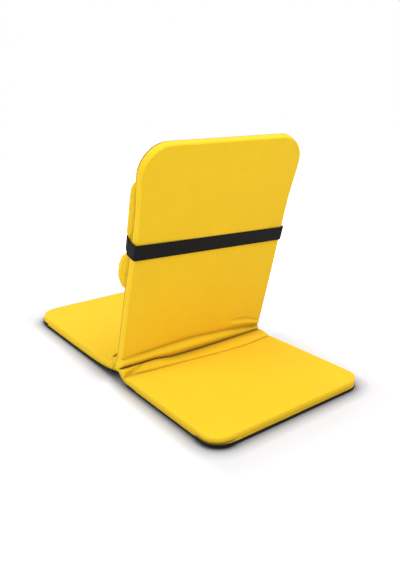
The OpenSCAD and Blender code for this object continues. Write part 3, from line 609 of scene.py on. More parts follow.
def seat_cover():
    """The seat's own cover: a slab whose rear end is gathered and raised to the hinge line.

    The face's height is the leaf's top, a rise that fades exponentially from the gathered end, the crown, and
    the pleats: a sine across the leaf, pushed to and fro by a slower sine, that fades from the gathered end
    too. The slit is a bell down round its line with a low rim. Nicks and puckers are bells across the face's
    edge and across the band below it.
    """
    inset = edge_round
    columns = shares_across(151)
    gathered = 90 * MM
    near_radius, far_radius = 12 * MM, seat_corner - inset
    length = seat_length - end_inset - seat_flare - (seat_start + inset)
    middle = np.concatenate([np.linspace(near_radius, gathered, 78, endpoint=False),
                             np.linspace(gathered, length - far_radius, 50)])
    distance, drawn, turns = round_rows(length, near_radius, far_radius, middle)
    away = seat_start + inset + distance
    gather = np.exp(-(away - seat_start) / pleat_reach)[:, None]
    half = leaf_half_width + side_swell - inset - seat_flare
    x = (half - drawn)[:, None] * columns
    share = x / half
    corner = np.abs(share) ** 10
    pleats = np.sin(2 * math.pi * x / pleat_spacing + 1.2 * np.sin(x / (31 * MM))) * gather ** 1.2
    level = smooth((away - 60 * MM) / seat_ease) * smooth((seat_length - inset - away) / seat_ease)
    raised = gather_rise * np.exp(-(away - seat_start) / gather_rise_reach)[:, None]
    height = leaf_top + seat_lift + raised + 0 * x
    height = height + crowned(share, level, x, away, seat_ripple)
    height = height + bpy.context.scene.chair_sizes.gather_depth * pleats * (1 + 0.8 * corner)
    dropped = smooth((away - seat_length + corner_drop_reach) / corner_drop_reach)[:, None]
    height = height - corner_drop * corner * dropped
    slit = slit_distance(x, away[:, None])
    height = height - slit_depth * peak(slit, slit_width)
    height = height + slit_rim * peak(slit - slit_rim_reach, slit_rim_width)
    height = height - dents(away, nicks)[:, None] * smooth((np.abs(x) - 196 * MM) / (22 * MM))
    tucks = np.sin(2 * math.pi * away / tuck_spacing + 1)[:, None] * gather * corner
    lowered = height - tuck_down * np.abs(tucks)
    face = leaf_place(x + np.sign(x) * tuck_out * tucks, away[:, None], lowered, -1)
    under = (seat_underside(away) + cover_lift)[:, None]
    back = leaf_place(x * (1 - 3.0 * MM / half), away[:, None], under, -1)
    length_along = np.append(0, np.cumsum(np.diff(away)))
    cloth = np.stack(np.broadcast_arrays(x, length_along[:, None]), -1)
    outward = border_directions(turns, len(columns), to_rear, -to_rear)
    border = border_of(*face.shape[:2])
    edge_away, edge_share = (hinge_y - face[..., 1]).ravel()[border], np.abs(share.ravel()[border])
    puckers = (dents(edge_away, edge_puckers) * smooth((edge_share - 0.8) * 8))[:, None]
    piece = slab("seat_padded_cover", face, back, outward, leaf_edge(seat_flare), cloth, puckers)
    dress(piece, "yellow_canvas", canvas(), "seat_cover", "seat_foam")
    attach(piece, "seat")
    return piece


# The base cloths: how far each ends short of its leaf's end, or past it where that is below 0, its start from
# the hinge line, the stretch in which its rim rises from there to its full height, and the seat's corner
seat_base_short, rear_base_short = 4 * MM, -1.5 * MM
seat_base_start, rear_base_start = 16 * MM, 14 * MM
rim_rise = 34 * MM
seat_base_corner = seat_corner + 20 * MM


def base_cloth(name, body, node, length, radius, underside, side, start):
    """The dark cloth under a leaf: a shallow tray whose rim shows below the cover all round.

    The rim rises from its hinge end in an ease, and a quarter circle joins it to the floor.
    """
    grow = 0.5 * MM
    half_width = leaf_half_width + base_margin
    columns = shares_across(61)
    near_radius = 26 * MM
    inner = 5 * MM
    drawn_up = 90 * MM
    middle = np.concatenate([np.linspace(near_radius, drawn_up, 24, endpoint=False),
                             np.linspace(drawn_up, length - start - radius, 24)])
    distance, drawn, turns = round_rows(length - start - 2 * inner, near_radius - inner, radius - inner,
                                        middle - inner)
    away = start + inner + distance
    x = (half_width - inner - drawn)[:, None] * columns
    floor = leaf_place(x, away[:, None], underside(away)[:, None] + 0 * x, side)
    outward = border_directions(turns, len(columns), -side * to_rear, side * to_rear)
    edge = floor.reshape(-1, 3)[border_of(*floor.shape[:2])]
    near = smooth(np.abs(edge[:, 1:2] - hinge_y - side * start) / rim_rise)
    up = np.array([0, 0, 1.0])
    rim = up * rim_height * near
    rings = [edge + outward * (inner + grow) + rim * share for share in (1.0, 0.8, 0.6)]
    rings += [edge + outward * ((inner + grow) * math.cos(t)) + rim * 0.6 * (1 - math.sin(t))
              for t in np.radians([20, 45, 70])]
    piece = tray(name, rings, floor, base_thick)
    dress(piece, "black_cloth", base_weave(), node)
    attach(piece, body)
    return piece


# The corner patches: half width, length and corner radius of the outline that each lies on, the heights of
# their rows, how far each row leans in over its leaf's edge, and the straight runs beside the corner
seat_patch_measures = leaf_half_width + 1.0 * MM, seat_length + 0.8 * MM, seat_corner + 2.6 * MM
rear_patch_measures = leaf_half_width + 4.0 * MM, rear_length + 2.9 * MM, base_corner + 1.4 * MM
patch_heights = np.array([3, 6, 8, 10.5, 13]) * MM
seat_patch_leans = np.array([0.6, 0.2, 0.1, 0.6, 0.8]) * MM
rear_patch_leans = np.array([0.6, 0.4, -0.6, -2.2, -3.2]) * MM
patch_side_run, patch_end_run = 20 * MM, 8 * MM


def corner_patch(name, body, node, measures, leans, side):
    """The dark piece of base cloth that wraps a free corner on the +X side, with square-cut ends.

    Its path is a straight run along the side, a quarter circle, and a short run along the end, repeated at
    each height and moved towards the circle's centre by that height's lean.
    """
    half_width, length, corner = measures
    turn = np.radians(np.linspace(0, 90, 28))
    centre = np.array([half_width - corner, length - corner])
    start = np.linspace(patch_side_run, 0, 6, endpoint=False)
    stop = np.linspace(0, patch_end_run, 5)[1:]
    x = centre[0] + np.concatenate([0 * start + corner, corner * np.cos(turn), -stop])
    away = centre[1] + np.concatenate([-start, corner * np.sin(turn), 0 * stop + corner])
    flat = np.stack([x, away], -1)
    place = flat[None] + unit(centre - flat)[None] * leans[:, None, None]
    points = leaf_place(place[..., 0], place[..., 1], patch_heights[:, None], side).reshape(-1, 3)
    quads = grid_quads(len(patch_heights), len(x))
    if facing(points, quads[0])[0] < 0:
        quads = quads[:, ::-1]
    uv = np.stack(np.broadcast_arrays(travel_along(flat), patch_heights[:, None]), -1).reshape(-1, 2)
    piece = new_piece(name, points, quads, uv)
    thicken(piece, base_thick)
    dress(piece, "black_cloth", base_weave(), node)
    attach(piece, body)
    return piece


def seam_tape():
    """A dark strip, painted shade in the seam's real groove round the backrest's front edge, up one side,
    over the top and down.

    A small ellipse is carried along half the outline, which is a straight side, a quarter circle and half the
    top, drawn in and bulged as the cover is, and mirrored for the other half.
    """
    start = 6 * MM
    half_width = back_half_width + back_swell + 1.5 * MM
    side = np.linspace(start, back_length - back_corner, 60, endpoint=False)
    turn = np.radians(np.linspace(0, 90, 24, endpoint=False))
    across = np.linspace(1, 0, 16)
    flat_half = half_width - back_corner
    x = np.concatenate([0 * side + half_width, flat_half + back_corner * np.cos(turn), flat_half * across])
    up = np.concatenate([side, back_length + 1.5 * MM - back_corner + back_corner * np.sin(turn),
                         0 * across + back_length + 1.5 * MM])
    x = x - strap_draw(up) + hinge_bulge * peak(up, hinge_bulge_reach)
    x, up = np.append(x, -x[-2::-1]), np.append(up, up[-2::-1])
    along = unit(np.gradient(np.stack([x, up], -1), axis=0))
    normal = np.stack([along[:, 1], -along[:, 0]], -1)
    turn = np.radians(np.arange(0, 360, 45))
    width, height = 0.8 * MM, 0.5 * MM
    out = -back_half + seam_depth
    section_x = x[:, None] + normal[:, :1] * height * np.cos(turn)
    section_up = up[:, None] + normal[:, 1:] * height * np.cos(turn)
    points = back_place(section_x, section_up, out + width * np.sin(turn)).reshape(-1, 3)
    quads = tube_quads(len(x), len(turn))
    caps = [list(range(len(turn)))[::-1], list(range(len(points) - len(turn), len(points)))]
    if volume_of(points, quads) < 0:
        quads, caps = quads[:, ::-1], [cap[::-1] for cap in caps]
    mesh = bpy.data.meshes.new("back_seam_shade_line")
    mesh.from_pydata(points.tolist(), [], quads.tolist() + caps)
    mesh.shade_smooth()
    piece = bpy.data.objects.new("back_seam_shade_line", mesh)
    bpy.context.scene.collection.objects.link(piece)
    dress(piece, "black_cloth", seam_shade_paint(), "back_seam_tape")
    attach(piece, "backrest")
    return piece


# The lumbar cushion and its strap
cushion_half_width = 219 * MM
cushion_half_height = 135 * MM
cushion_middle = 343 * MM
cushion_gap = back_half + 2.1 * MM
upper_thick, lower_thick, pinch_thick = 47 * MM, 69 * MM, 23 * MM
seam_band = 3 * MM
seam_share = 0.36
seam_proud = 1.6 * MM
pinch_half = strap_width / 2 + 3 * MM
pinch_fade = 12 * MM
beside_reach = 60 * MM
cushion_top_corner, cushion_low_corner = 24 * MM, 33 * MM

# Folds beside the strap and up the cushion's sides, each with its height and spacing, and its unevenness
strap_fold, strap_fold_spacing = 1.5 * MM, 34 * MM
edge_fold, edge_fold_spacing = 1.2 * MM, 26 * MM
cushion_ripple, cushion_ripple_length = 0.9 * MM, 0.11

# Wrinkles at the cushion's sides: height above the hinge line, width and depth in millimetres
side_wrinkles = [(252, 2.8, -8), (243, 4.5, 4), (290, 2.6, -5), (224, 3.5, -3)]


def off_strap(x, up):
    """Distance up or down from the middle of the slanted strap."""
    return np.abs(up - strap_up - x * math.tan(strap_slant))


def pinch_share(x, up):
    """How much the strap holds the cushion down at a place: 1 under the strap, easing to 0 beside it.

    Above the strap the ease has level ends, and it is longer in the middle than at the sides. Below it, the
    ease starts at once and slows down: one less a power of what is left of the way.
    """
    off = off_strap(x, up)
    share = np.abs(x / cushion_half_width)
    above = smooth((up - strap_up) / (20 * MM)) * share ** 4
    below = smooth((strap_up - up) / (12 * MM))
    fade = pinch_fade * (1 - 0.4 * above) + 14 * MM * (1 - share ** 3)
    free_above = smooth((off - pinch_half + 9 * MM * above) / fade)
    free_below = 1 - (1 - np.clip((off - pinch_half) / beside_reach, 0, 1)) ** 2.2
    return 1 - free_above - (free_below - free_above) * below


def lumbar_cushion():
    """The removable cushion: two sheets sewn round the edge, full above and below the strap.

    Both sheets are grids over u across and v up, from -1 to 1, closer at the edges. The outline is a
    rectangle with round corners whose sides are drawn in by a parabola and widened low down. The depth is the
    full thickness times the root of one less u to the power 12, times one less v to the power 6, so that it
    meets the seam round, and the strap's share blends it to the pinched thickness. Folds are sines across
    that fade away from the strap, edge folds are sines up the sides, and the side wrinkles are bells. The
    seam runs halfway between the sheets' borders and stands a little proud of them.
    """
    columns, rows = 121, 131
    u = np.sin(np.linspace(-math.pi / 2, math.pi / 2, columns) * 0.97) / math.sin(math.pi / 2 * 0.97)
    v = np.sin(np.linspace(-math.pi / 2, math.pi / 2, rows))[:, None]
    draw = 2.5 * MM
    corner = np.where(v > 0, cushion_top_corner, cushion_low_corner)
    past = np.maximum(0, np.abs(v) * cushion_half_height - cushion_half_height + corner)
    rounded = corner - np.sqrt(np.maximum(0, corner ** 2 - past ** 2))
    held_in = 3 * MM * peak(v + 0.19, 0.1)
    low_bulge = 3 * MM * smooth((-0.25 - v) * 8)
    x = u * (cushion_half_width - rounded - draw * (1 - v ** 2) - held_in + low_bulge)
    end_swell = 5 * MM * smooth(-v * 1.5) + 4 * MM * smooth(v * 1.5)
    up = cushion_middle + v * (cushion_half_height - draw * (1 - u ** 2) + end_swell)

    pinch = pinch_share(x, up)
    upper = smooth((up - strap_up + pinch_fade) / (2 * pinch_fade))
    full = lower_thick + (upper_thick - lower_thick) * upper
    edge = np.sqrt(np.maximum(0, (1 - u ** 12) * (1 - v ** 6)))
    depth = edge * (full + (pinch_thick - full) * pinch)
    beside = np.clip((off_strap(x, up) - pinch_half) / beside_reach, 0, 1)
    pushed = 1.4 * np.sin(x / (57 * MM))
    folds = np.sin(2 * math.pi * x / strap_fold_spacing + pushed) * np.exp(-beside * 4.5)
    low = smooth((strap_up - up) / (20 * MM))
    edge_folds = (0.5 + 1.3 * low) * np.sin(2 * math.pi * up / edge_fold_spacing + 2) * np.abs(u) ** 6
    wave = (strap_fold * folds + edge_fold * edge_folds) * (1 - pinch)
    wave = wave + cushion_ripple * ripples(x, up, cushion_ripple_length, 31)
    wrinkle = smooth((np.abs(u) - 0.62) * 3.2) * dents(up, side_wrinkles)

    middle = cushion_gap + (seam_band + full + (pinch_thick - full) * pinch) * seam_share
    front = -middle - (seam_band + depth) * (1 - seam_share) - (wave + 0.45 * wrinkle) * edge
    rear = -middle + (seam_band + depth) * seam_share + 0.6 * wrinkle * np.abs(u) ** 3 * edge
    x = x + np.sign(u) * wrinkle * np.abs(u) ** 4 * 0.2
    front_sheet, rear_sheet = (back_place(x, up, out).reshape(-1, 3) for out in (front, rear))
    border = border_of(rows, columns)
    outward = unit(front_sheet[border] - front_sheet.mean(0))
    seam = (front_sheet[border] + rear_sheet[border]) / 2 + outward * seam_proud
    points = np.concatenate([front_sheet, seam, rear_sheet])
    seam_first, last = rows * columns, rows * columns + len(border)
    seam_ring = seam_first + np.arange(len(border))
    quads = np.concatenate([
        grid_quads(rows, columns)[:, ::-1], band_quads(border, seam_ring),
        band_quads(seam_ring, last + border), grid_quads(rows, columns, last)])
    flat = np.stack([x, up + 0 * x], -1).reshape(-1, 2)
    uv = np.concatenate([flat, flat[border], flat])
    piece = new_piece("lumbar_cushion", points, faces_out(points, quads), uv)
    dress(piece, "yellow_canvas", canvas(), "lumbar_cover", "lumbar_filling")
    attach(piece, "lumbar")
    return piece


def rounded_path(corners, radii, per_arc, per_side):
    """A closed path through corners in the plane, with a quadratic curve of about its radius at each."""
    points = []
    count = len(corners)
    for k in range(count):
        here, before, after = (np.array(corners[(k + step) % count], float) for step in (0, -1, 1))
        into, out = unit(here - before), unit(after - here)
        r = radii[k]
        bent = math.acos(np.clip(into @ out, -1, 1))
        near = r * math.tan(bent / 2)
        begin, end = here - into * near, here + out * near
        t = np.linspace(0, 1, per_arc, endpoint=False)[:, None]
        points.append(begin * (1 - t) ** 2 + 2 * here * t * (1 - t) + end * t ** 2)
        onward = np.array(corners[(k + 2) % count], float) - after
        next_near = radii[(k + 1) % count] * math.tan(math.acos(np.clip(out @ unit(onward), -1, 1)) / 2)
        begin, end = end, after - out * next_near
        points.append(begin + (end - begin) * np.linspace(0, 1, per_side, endpoint=False)[:, None])
    return np.concatenate(points)


def lumbar_strap():
    """The elastic strap: a flat band's section carried round the backrest and the cushion, at a slant.

    The path is a rounded hexagon. Where it turns to the cushion's front, its lower edge curls up.
    """
    clear = 1.9 * MM
    side = (back_half_width + back_swell + clear - strap_draw(strap_up) + strap_thick) / math.cos(strap_slant)
    rear = back_half + clear
    front = -(cushion_gap + pinch_thick + seam_band + 0.6 * MM)
    edge, inner = -17 * MM, side - 10 * MM
    path = rounded_path([(side, rear), (side, edge), (inner, front), (-inner, front), (-side, edge),
                         (-side, rear)], [5 * MM, 9 * MM, 13 * MM, 13 * MM, 9 * MM, 5 * MM], 10, 20)
    along = unit(np.roll(path, -1, 0) - np.roll(path, 1, 0))
    normal = np.stack([-along[:, 1], along[:, 0]], -1)
    if (normal * path).sum() < 0:
        normal = -normal
    half, thick, bead = strap_width / 2, strap_thick, 0.5 * MM
    across = np.concatenate([np.linspace(-half + bead, half - bead, 15), [half, half],
                             np.linspace(half - bead, -half + bead, 15), [-half, -half]])
    raised = np.concatenate([np.full(15, thick), [thick - bead, bead], np.zeros(15), [bead, thick - bead]])
    x = path[:, :1] + normal[:, :1] * raised
    out = path[:, 1:] + normal[:, 1:] * raised
    curl = 6 * MM * smooth((-13 * MM - out) / (7 * MM)) * smooth(-across / half + 0.5)
    up = strap_up + across * math.cos(strap_slant) + x * math.tan(strap_slant) + curl
    points = back_place(x, up, out)
    travel = travel_along(path)
    uv = np.stack(np.broadcast_arrays(travel[:, None], across + raised), -1).reshape(-1, 2)
    rings, around = points.shape[:2]
    place = np.arange(around)
    quads = np.concatenate([tube_quads(rings, around), band_quads((rings - 1) * around + place, place)])
    points = points.reshape(-1, 3)
    piece = new_piece("lumbar_strap_band", points, faces_out(points, quads), uv)
    dress(piece, "black_webbing", webbing(), "lumbar_strap")
    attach(piece, "lumbar")
    return piece


# Materials
def linear_of(code):
    """A hex sRGB colour as linear values."""
    values = [int(code[k:k + 2], 16) / 255 for k in (0, 2, 4)]
    return tuple(v / 12.92 if v <= 0.04045 else ((v + 0.055) / 1.055) ** 2.4 for v in values)


def add(tree, kind, inputs=(), **settings):
    """A new node with its settings, its input values, and links from other nodes' outputs."""
    node = tree.nodes.new(kind)
    for name, value in settings.items():
        setattr(node, name, value)
    for name, value in dict(inputs).items():
        if isinstance(value, bpy.types.NodeSocket):
            tree.links.new(value, node.inputs[name])
        else:
            node.inputs[name].default_value = value
    return node


def new_material(name, colour, shader_values):
    """A material with a principled shader, its node tree, and a colour node's output to tint from."""
    material = bpy.data.materials.new(name)
    material.use_nodes = True
    tree = material.node_tree
    tree.nodes.clear()
    shader = add(tree, "ShaderNodeBsdfPrincipled", shader_values)
    add(tree, "ShaderNodeOutputMaterial", {"Surface": shader.outputs[0]})
    base = add(tree, "ShaderNodeRGB").outputs[0]
    base.default_value = (*colour, 1)
    return material, tree, shader, base


def thread_wave(tree, cloth, direction, spacing):
    """A wave across threads of that spacing in metres, from -0.5 to 0.5."""
    wave = add(tree, "ShaderNodeTexWave", {"Vector": cloth, "Scale": math.pi / 10 / (2 * spacing)},
               bands_direction=direction)
    return add(tree, "ShaderNodeMath", {0: wave.outputs["Fac"], 1: 0.5}, operation="SUBTRACT").outputs[0]


def plain_weave(tree, cloth, spacing):
    """The height of a plain weave: warp wave times weft wave, so that threads pass over and under."""
    warp, weft = (thread_wave(tree, cloth, direction, spacing) for direction in "XY")
    product = add(tree, "ShaderNodeMath", {0: warp, 1: weft}, operation="MULTIPLY")
    return add(tree, "ShaderNodeMath", {0: product.outputs[0], 1: 4.0}, operation="MULTIPLY").outputs[0]


def tinted(tree, colour, dark, light, amount):
    """The colour, darkened or lightened between two factors by an amount from 0 to 1."""
    scale = add(tree, "ShaderNodeMapRange", {"Value": amount, "To Min": dark, "To Max": light})
    return add(tree, "ShaderNodeMix", {0: 1.0, 6: colour, 7: scale.outputs[0]}, data_type="RGBA",
               blend_type="MULTIPLY").outputs[2]


def open_share(tree, distance, power, only_self):
    """How open a place is within a distance, raised to a power: 1 in the open, 0 deep in a crevice. The
    materials darken their colour by it as painted shade.
    """
    share = add(tree, "ShaderNodeAmbientOcclusion", {"Distance": distance}, samples=8, only_local=only_self)
    return add(tree, "ShaderNodeMath", {0: share.outputs["AO"], 1: power}, operation="POWER").outputs[0]


# The materials made so far, by the names of their functions
made = {}


def keep_one(build):
    """Makes a material once and gives the same one to every piece that asks for it."""
    def once():
        """The kept material, made at the first call."""
        if build.__name__ not in made:
            made[build.__name__] = build()
        return made[build.__name__]
    return once


@keep_one
def canvas():
    """Cotton canvas, plain-woven and dyed: dull, with a fine even grain, a faint sheen at the edges, and
    shade painted into its folds.
    """
    colour = bpy.context.scene.chair_colours.canvas
    material, tree, shader, base = new_material("cotton canvas, plain-woven", colour, {
        "Roughness": 0.9, "Specular IOR Level": 0.15, "Sheen Weight": 0.05, "Sheen Roughness": 0.5})
    cloth = add(tree, "ShaderNodeUVMap", uv_map="cloth").outputs[0]
    place = add(tree, "ShaderNodeTexCoord").outputs["Object"]
    # Canvas threads lie about 0.6 mm apart, drawn at 1.1 mm so that they show
    weave = plain_weave(tree, cloth, 1.1 * MM)
    slub, blotch = (
        add(tree, "ShaderNodeTexNoise", {"Vector": at, "Scale": 1 / size, "Detail": 3}).outputs["Fac"]
        for at, size in ((cloth, 2.2 * MM), (place, 60 * MM)))
    tone = tinted(tree, base, 0.955, 1.03, blotch)
    tone = tinted(tree, tone, 0.96, 1.04, slub)
    tone = tinted(tree, tone, 0.985, 1.015, weave)
    # Painted shade: bounced light makes yellow folds pale, so the colour is darkened where the cloth's own
    # folds lie within 36 mm
    tone = tinted(tree, tone, 0.58, 1.0, open_share(tree, 36 * MM, 1.8, True))
    tree.links.new(tone, shader.inputs["Base Color"])
    height = add(tree, "ShaderNodeMath", {0: slub, 1: weave}, operation="ADD").outputs[0]
    bump = add(tree, "ShaderNodeBump", {"Height": height, "Strength": 0.3, "Distance": 0.15 * MM})
    tree.links.new(bump.outputs[0], shader.inputs["Normal"])
    return material


@keep_one
def base_weave():
    """Polyester base cloth, plain-woven and coated: near black, dull, with a coarse even grain."""
    colour = bpy.context.scene.chair_colours.base_cloth
    material, tree, shader, base = new_material("polyester base cloth, plain-woven", colour, {
        "Roughness": 0.8, "Specular IOR Level": 0.3})
    cloth = add(tree, "ShaderNodeUVMap", uv_map="cloth").outputs[0]
    weave = plain_weave(tree, cloth, 1.2 * MM)
    slub = add(tree, "ShaderNodeTexNoise", {"Vector": cloth, "Scale": 1 / (4 * MM)}).outputs["Fac"]
    tone = tinted(tree, tinted(tree, base, 0.8, 1.25, slub), 0.9, 1.1, weave)
    tree.links.new(tone, shader.inputs["Base Color"])
    bump = add(tree, "ShaderNodeBump", {"Height": weave, "Strength": 0.4, "Distance": 0.2 * MM})
    tree.links.new(bump.outputs[0], shader.inputs["Normal"])
    return material


@keep_one
def webbing():
    """Elastic webbing, woven polyester over rubber threads: black, with fine ribs along its length."""
    colour = bpy.context.scene.chair_colours.strap
    material, tree, shader, base = new_material("elastic webbing, ribbed", colour, {
        "Roughness": 0.75, "Specular IOR Level": 0.12})
    cloth = add(tree, "ShaderNodeUVMap", uv_map="cloth").outputs[0]
    ribs = thread_wave(tree, cloth, "Y", 1.6 * MM)
    picks = thread_wave(tree, cloth, "X", 0.9 * MM)
    height = add(tree, "ShaderNodeMath", {0: picks, 1: 0.4, 2: ribs}, operation="MULTIPLY_ADD").outputs[0]
    shade = add(tree, "ShaderNodeMapRange", {"Value": height, "From Min": -0.7, "From Max": 0.7})
    tone = tinted(tree, base, 0.75, 1.3, shade.outputs[0])
    tree.links.new(tone, shader.inputs["Base Color"])
    bump = add(tree, "ShaderNodeBump", {"Height": height, "Strength": 0.5, "Distance": 0.25 * MM})
    tree.links.new(bump.outputs[0], shader.inputs["Normal"])
    return material


@keep_one
def seam_shade_paint():
    """A strip in the seam: dark brown as painted shade in the groove, dull, with a twisted grain."""
    colour = bpy.context.scene.chair_colours.seam
    material, tree, shader, base = new_material("dark seam strip, painted shade", colour, {
        "Roughness": 0.85, "Specular IOR Level": 0.2})
    place = add(tree, "ShaderNodeTexCoord").outputs["Object"]
    twist = add(tree, "ShaderNodeTexNoise", {"Vector": place, "Scale": 1 / (3 * MM)}).outputs["Fac"]
    tree.links.new(tinted(tree, base, 0.7, 1.4, twist), shader.inputs["Base Color"])
    return material


def speckled(name, code, size, values, dark=0.9, light=1.1, bump_height=0.0):
    """A finish with a fine mottle: its colour, the size of its grain in metres, and the shader's values."""
    material, tree, shader, base = new_material(name, linear_of(code), values)
    place = add(tree, "ShaderNodeTexCoord").outputs["Object"]
    grain = add(tree, "ShaderNodeTexNoise", {"Vector": place, "Scale": 1 / size, "Detail": 4}).outputs["Fac"]
    tree.links.new(tinted(tree, base, dark, light, grain), shader.inputs["Base Color"])
    if bump_height:
        bump = add(tree, "ShaderNodeBump", {"Height": grain, "Strength": 0.5, "Distance": bump_height})
        tree.links.new(bump.outputs[0], shader.inputs["Normal"])
    return material


@keep_one
def foam():
    """Polyurethane foam, cut: cream, open-celled and quite dull."""
    return speckled("polyurethane foam, cut", "ece2c4", 1.5 * MM, {"Roughness": 0.95}, 0.85, 1.05, 0.4 * MM)


@keep_one
def powder_coat():
    """Steel tube, powder-coated: grey with a faint orange peel."""
    values = {"Roughness": 0.5}
    return speckled("steel tube, powder-coated", "5c6064", 1.2 * MM, values, 0.95, 1.05, 0.05 * MM)


@keep_one
def zinc_plate():
    """Steel, zinc-plated: pale metal with a soft spangle."""
    return speckled("steel, zinc-plated", "c4c7ca", 3 * MM, {"Metallic": 1.0, "Roughness": 0.38}, 0.9, 1.05)


@keep_one
def friction_lining():
    """Friction lining, pressed: brown, dense and dull, with flecks."""
    return speckled("friction lining, pressed", "5a4636", 0.8 * MM, {"Roughness": 0.8}, 0.7, 1.3, 0.1 * MM)


def dress(piece, slot, material, *nodes):
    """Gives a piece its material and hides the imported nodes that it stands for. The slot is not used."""
    piece.data.materials.append(material)
    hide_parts(*nodes)


# The finishes of the inner nodes, by the last word of the node's name
finish_of_node = {
    "foam": foam, "frame": powder_coat, "filling": foam, "arms": zinc_plate, "bolts": zinc_plate,
    "nuts": zinc_plate, "washers": zinc_plate, "springs": zinc_plate, "discs": friction_lining}


def inner_parts():
    """Gives the foam, the frames and the hinge hardware their finishes."""
    for name, node in frame["nodes"].items():
        finish = finish_of_node.get(name.split("_")[-1])
        if finish:
            node.data.materials.clear()
            node.data.materials.append(finish())


# The stage: the camera's place, its yaw, pitch and roll in degrees, and its lens
camera_place = Vector((0.8266, 1.2407, 0.6743))
camera_yaw, camera_pitch, camera_roll = (math.radians(angle) for angle in (36.356, 18.072, -0.934))
camera_lens = 36.1


def make_camera():
    """The photograph's view, from a yaw off the chair's length, a pitch down and a small roll."""
    ahead = Vector((-math.sin(camera_yaw) * math.cos(camera_pitch),
                    -math.cos(camera_yaw) * math.cos(camera_pitch), -math.sin(camera_pitch)))
    level = Vector((-math.cos(camera_yaw), math.sin(camera_yaw), 0))
    upright = level.cross(ahead)
    right = level * math.cos(camera_roll) + upright * math.sin(camera_roll)
    up = upright * math.cos(camera_roll) - level * math.sin(camera_roll)
    camera = bpy.data.objects.new("camera", bpy.data.cameras.new("camera"))
    camera.data.lens = camera_lens
    camera.data.sensor_width = 36
    turn = Matrix((right, up, -ahead)).transposed().to_4x4()
    camera.matrix_world = Matrix.Translation(camera_place) @ turn
    bpy.context.scene.collection.objects.link(camera)
    bpy.context.scene.camera = camera


def make_floor():
    """A white floor that keeps the chair's shadow, has shade painted close round the chair, and glows to
    plain white away from it for the camera.

    The glow grows with the distance from the chair's box, counted double at the +X side and 0.8 at the rear.
    """
    points = np.array([(-6, -6, 0), (6, -6, 0), (6, 6, 0), (-6, 6, 0)], float)
    floor = new_piece("floor", points, np.array([[0, 1, 2, 3]]))
    material, tree, shader, base = new_material("studio floor, matt white paint", linear_of("e4e5eb"), {
        "Roughness": 1.0, "Specular IOR Level": 0.0})
    place = add(tree, "ShaderNodeTexCoord").outputs["Object"]
    over = add(tree, "ShaderNodeVectorMath", {0: place, 1: cad_box[1]}, operation="SUBTRACT").outputs[0]
    over = add(tree, "ShaderNodeVectorMath", {0: over, 1: (2.0, 0.8, 0)}, operation="MULTIPLY").outputs[0]
    under = add(tree, "ShaderNodeVectorMath", {0: cad_box[0], 1: place}, operation="SUBTRACT").outputs[0]
    off = add(tree, "ShaderNodeVectorMath", {0: over, 1: under}, operation="MAXIMUM").outputs[0]
    off = add(tree, "ShaderNodeVectorMath", {0: off, 1: (0, 0, 0)}, operation="MAXIMUM").outputs[0]
    reach = add(tree, "ShaderNodeVectorMath", {0: off}, operation="LENGTH").outputs["Value"]
    glow = add(tree, "ShaderNodeMapRange", {"Value": reach, "From Min": 0.0, "From Max": 0.45,
                                            "To Min": 0.02, "To Max": 1.0}, interpolation_type="SMOOTHSTEP")
    seen = add(tree, "ShaderNodeMath", {0: glow.outputs[0], 1: seen_directly(tree)}, operation="MULTIPLY")
    tree.links.new(seen.outputs[0], shader.inputs["Emission Strength"])
    shader.inputs["Emission Color"].default_value = (1, 1, 1, 1)
    # Painted shade: the floor's colour is darkened where the chair lies within 42 mm, as light from all round
    # fails there
    shade = open_share(tree, 42 * MM, 1.7, False)
    tree.links.new(tinted(tree, base, 0.0, 1.0, shade), shader.inputs["Base Color"])
    floor.data.materials.append(material)


def seen_directly(tree):
    """1 for rays that the camera, gloss or glass sees, 0 for light that falls on other things."""
    path = add(tree, "ShaderNodeLightPath")
    seen = add(tree, "ShaderNodeMath", {0: path.outputs["Is Camera Ray"], 1: path.outputs["Is Glossy Ray"]},
               operation="MAXIMUM")
    return add(tree, "ShaderNodeMath", {0: seen.outputs[0], 1: path.outputs["Is Transmission Ray"]},
               operation="MAXIMUM").outputs[0]


def make_light(name, place, target, size, power):
    """A square lamp at a place, aimed at a target."""
    lamp = bpy.data.lights.new(name, "AREA")
    lamp.size = size
    lamp.energy = power
    holder = bpy.data.objects.new(name, lamp)
    holder.location = place
    holder.rotation_euler = (Vector(target) - Vector(place)).to_track_quat("-Z", "Y").to_euler()
    bpy.context.scene.collection.objects.link(holder)


def make_world(strength):
    """A white room light that the camera and gloss see as plain white."""
    world = bpy.data.worlds.new("studio")
    bpy.context.scene.world = world
    world.use_nodes = True
    tree = world.node_tree
    tree.nodes.clear()
    seen = seen_directly(tree)
    level = add(tree, "ShaderNodeMapRange", {"Value": seen, "To Min": strength, "To Max": 1.0})
    glow = add(tree, "ShaderNodeBackground", {"Color": (1, 1, 1, 1), "Strength": level.outputs[0]})
    add(tree, "ShaderNodeOutputWorld", {"Surface": glow.outputs[0]})


def make_stage():
    """Camera, floor, room light and four soft lamps."""
    scene = bpy.context.scene
    scene.view_settings.view_transform = "Standard"
    make_camera()
    make_floor()
    make_world(0.54)
    make_light("key lamp", (-0.2, 1.3, 2.3), (0, 0, 0.1), 1.2, 30)
    make_light("front lamp", (-0.3, -1.0, 2.2), (0, 0, 0.1), 0.9, 11)
    make_light("side lamp", (2.2, -0.3, 1.5), (0, 0, 0.1), 1.2, 21)
    make_light("rear lamp", (0.7, 2.6, 1.5), (0, 0, 0.3), 1.2, 3.8)


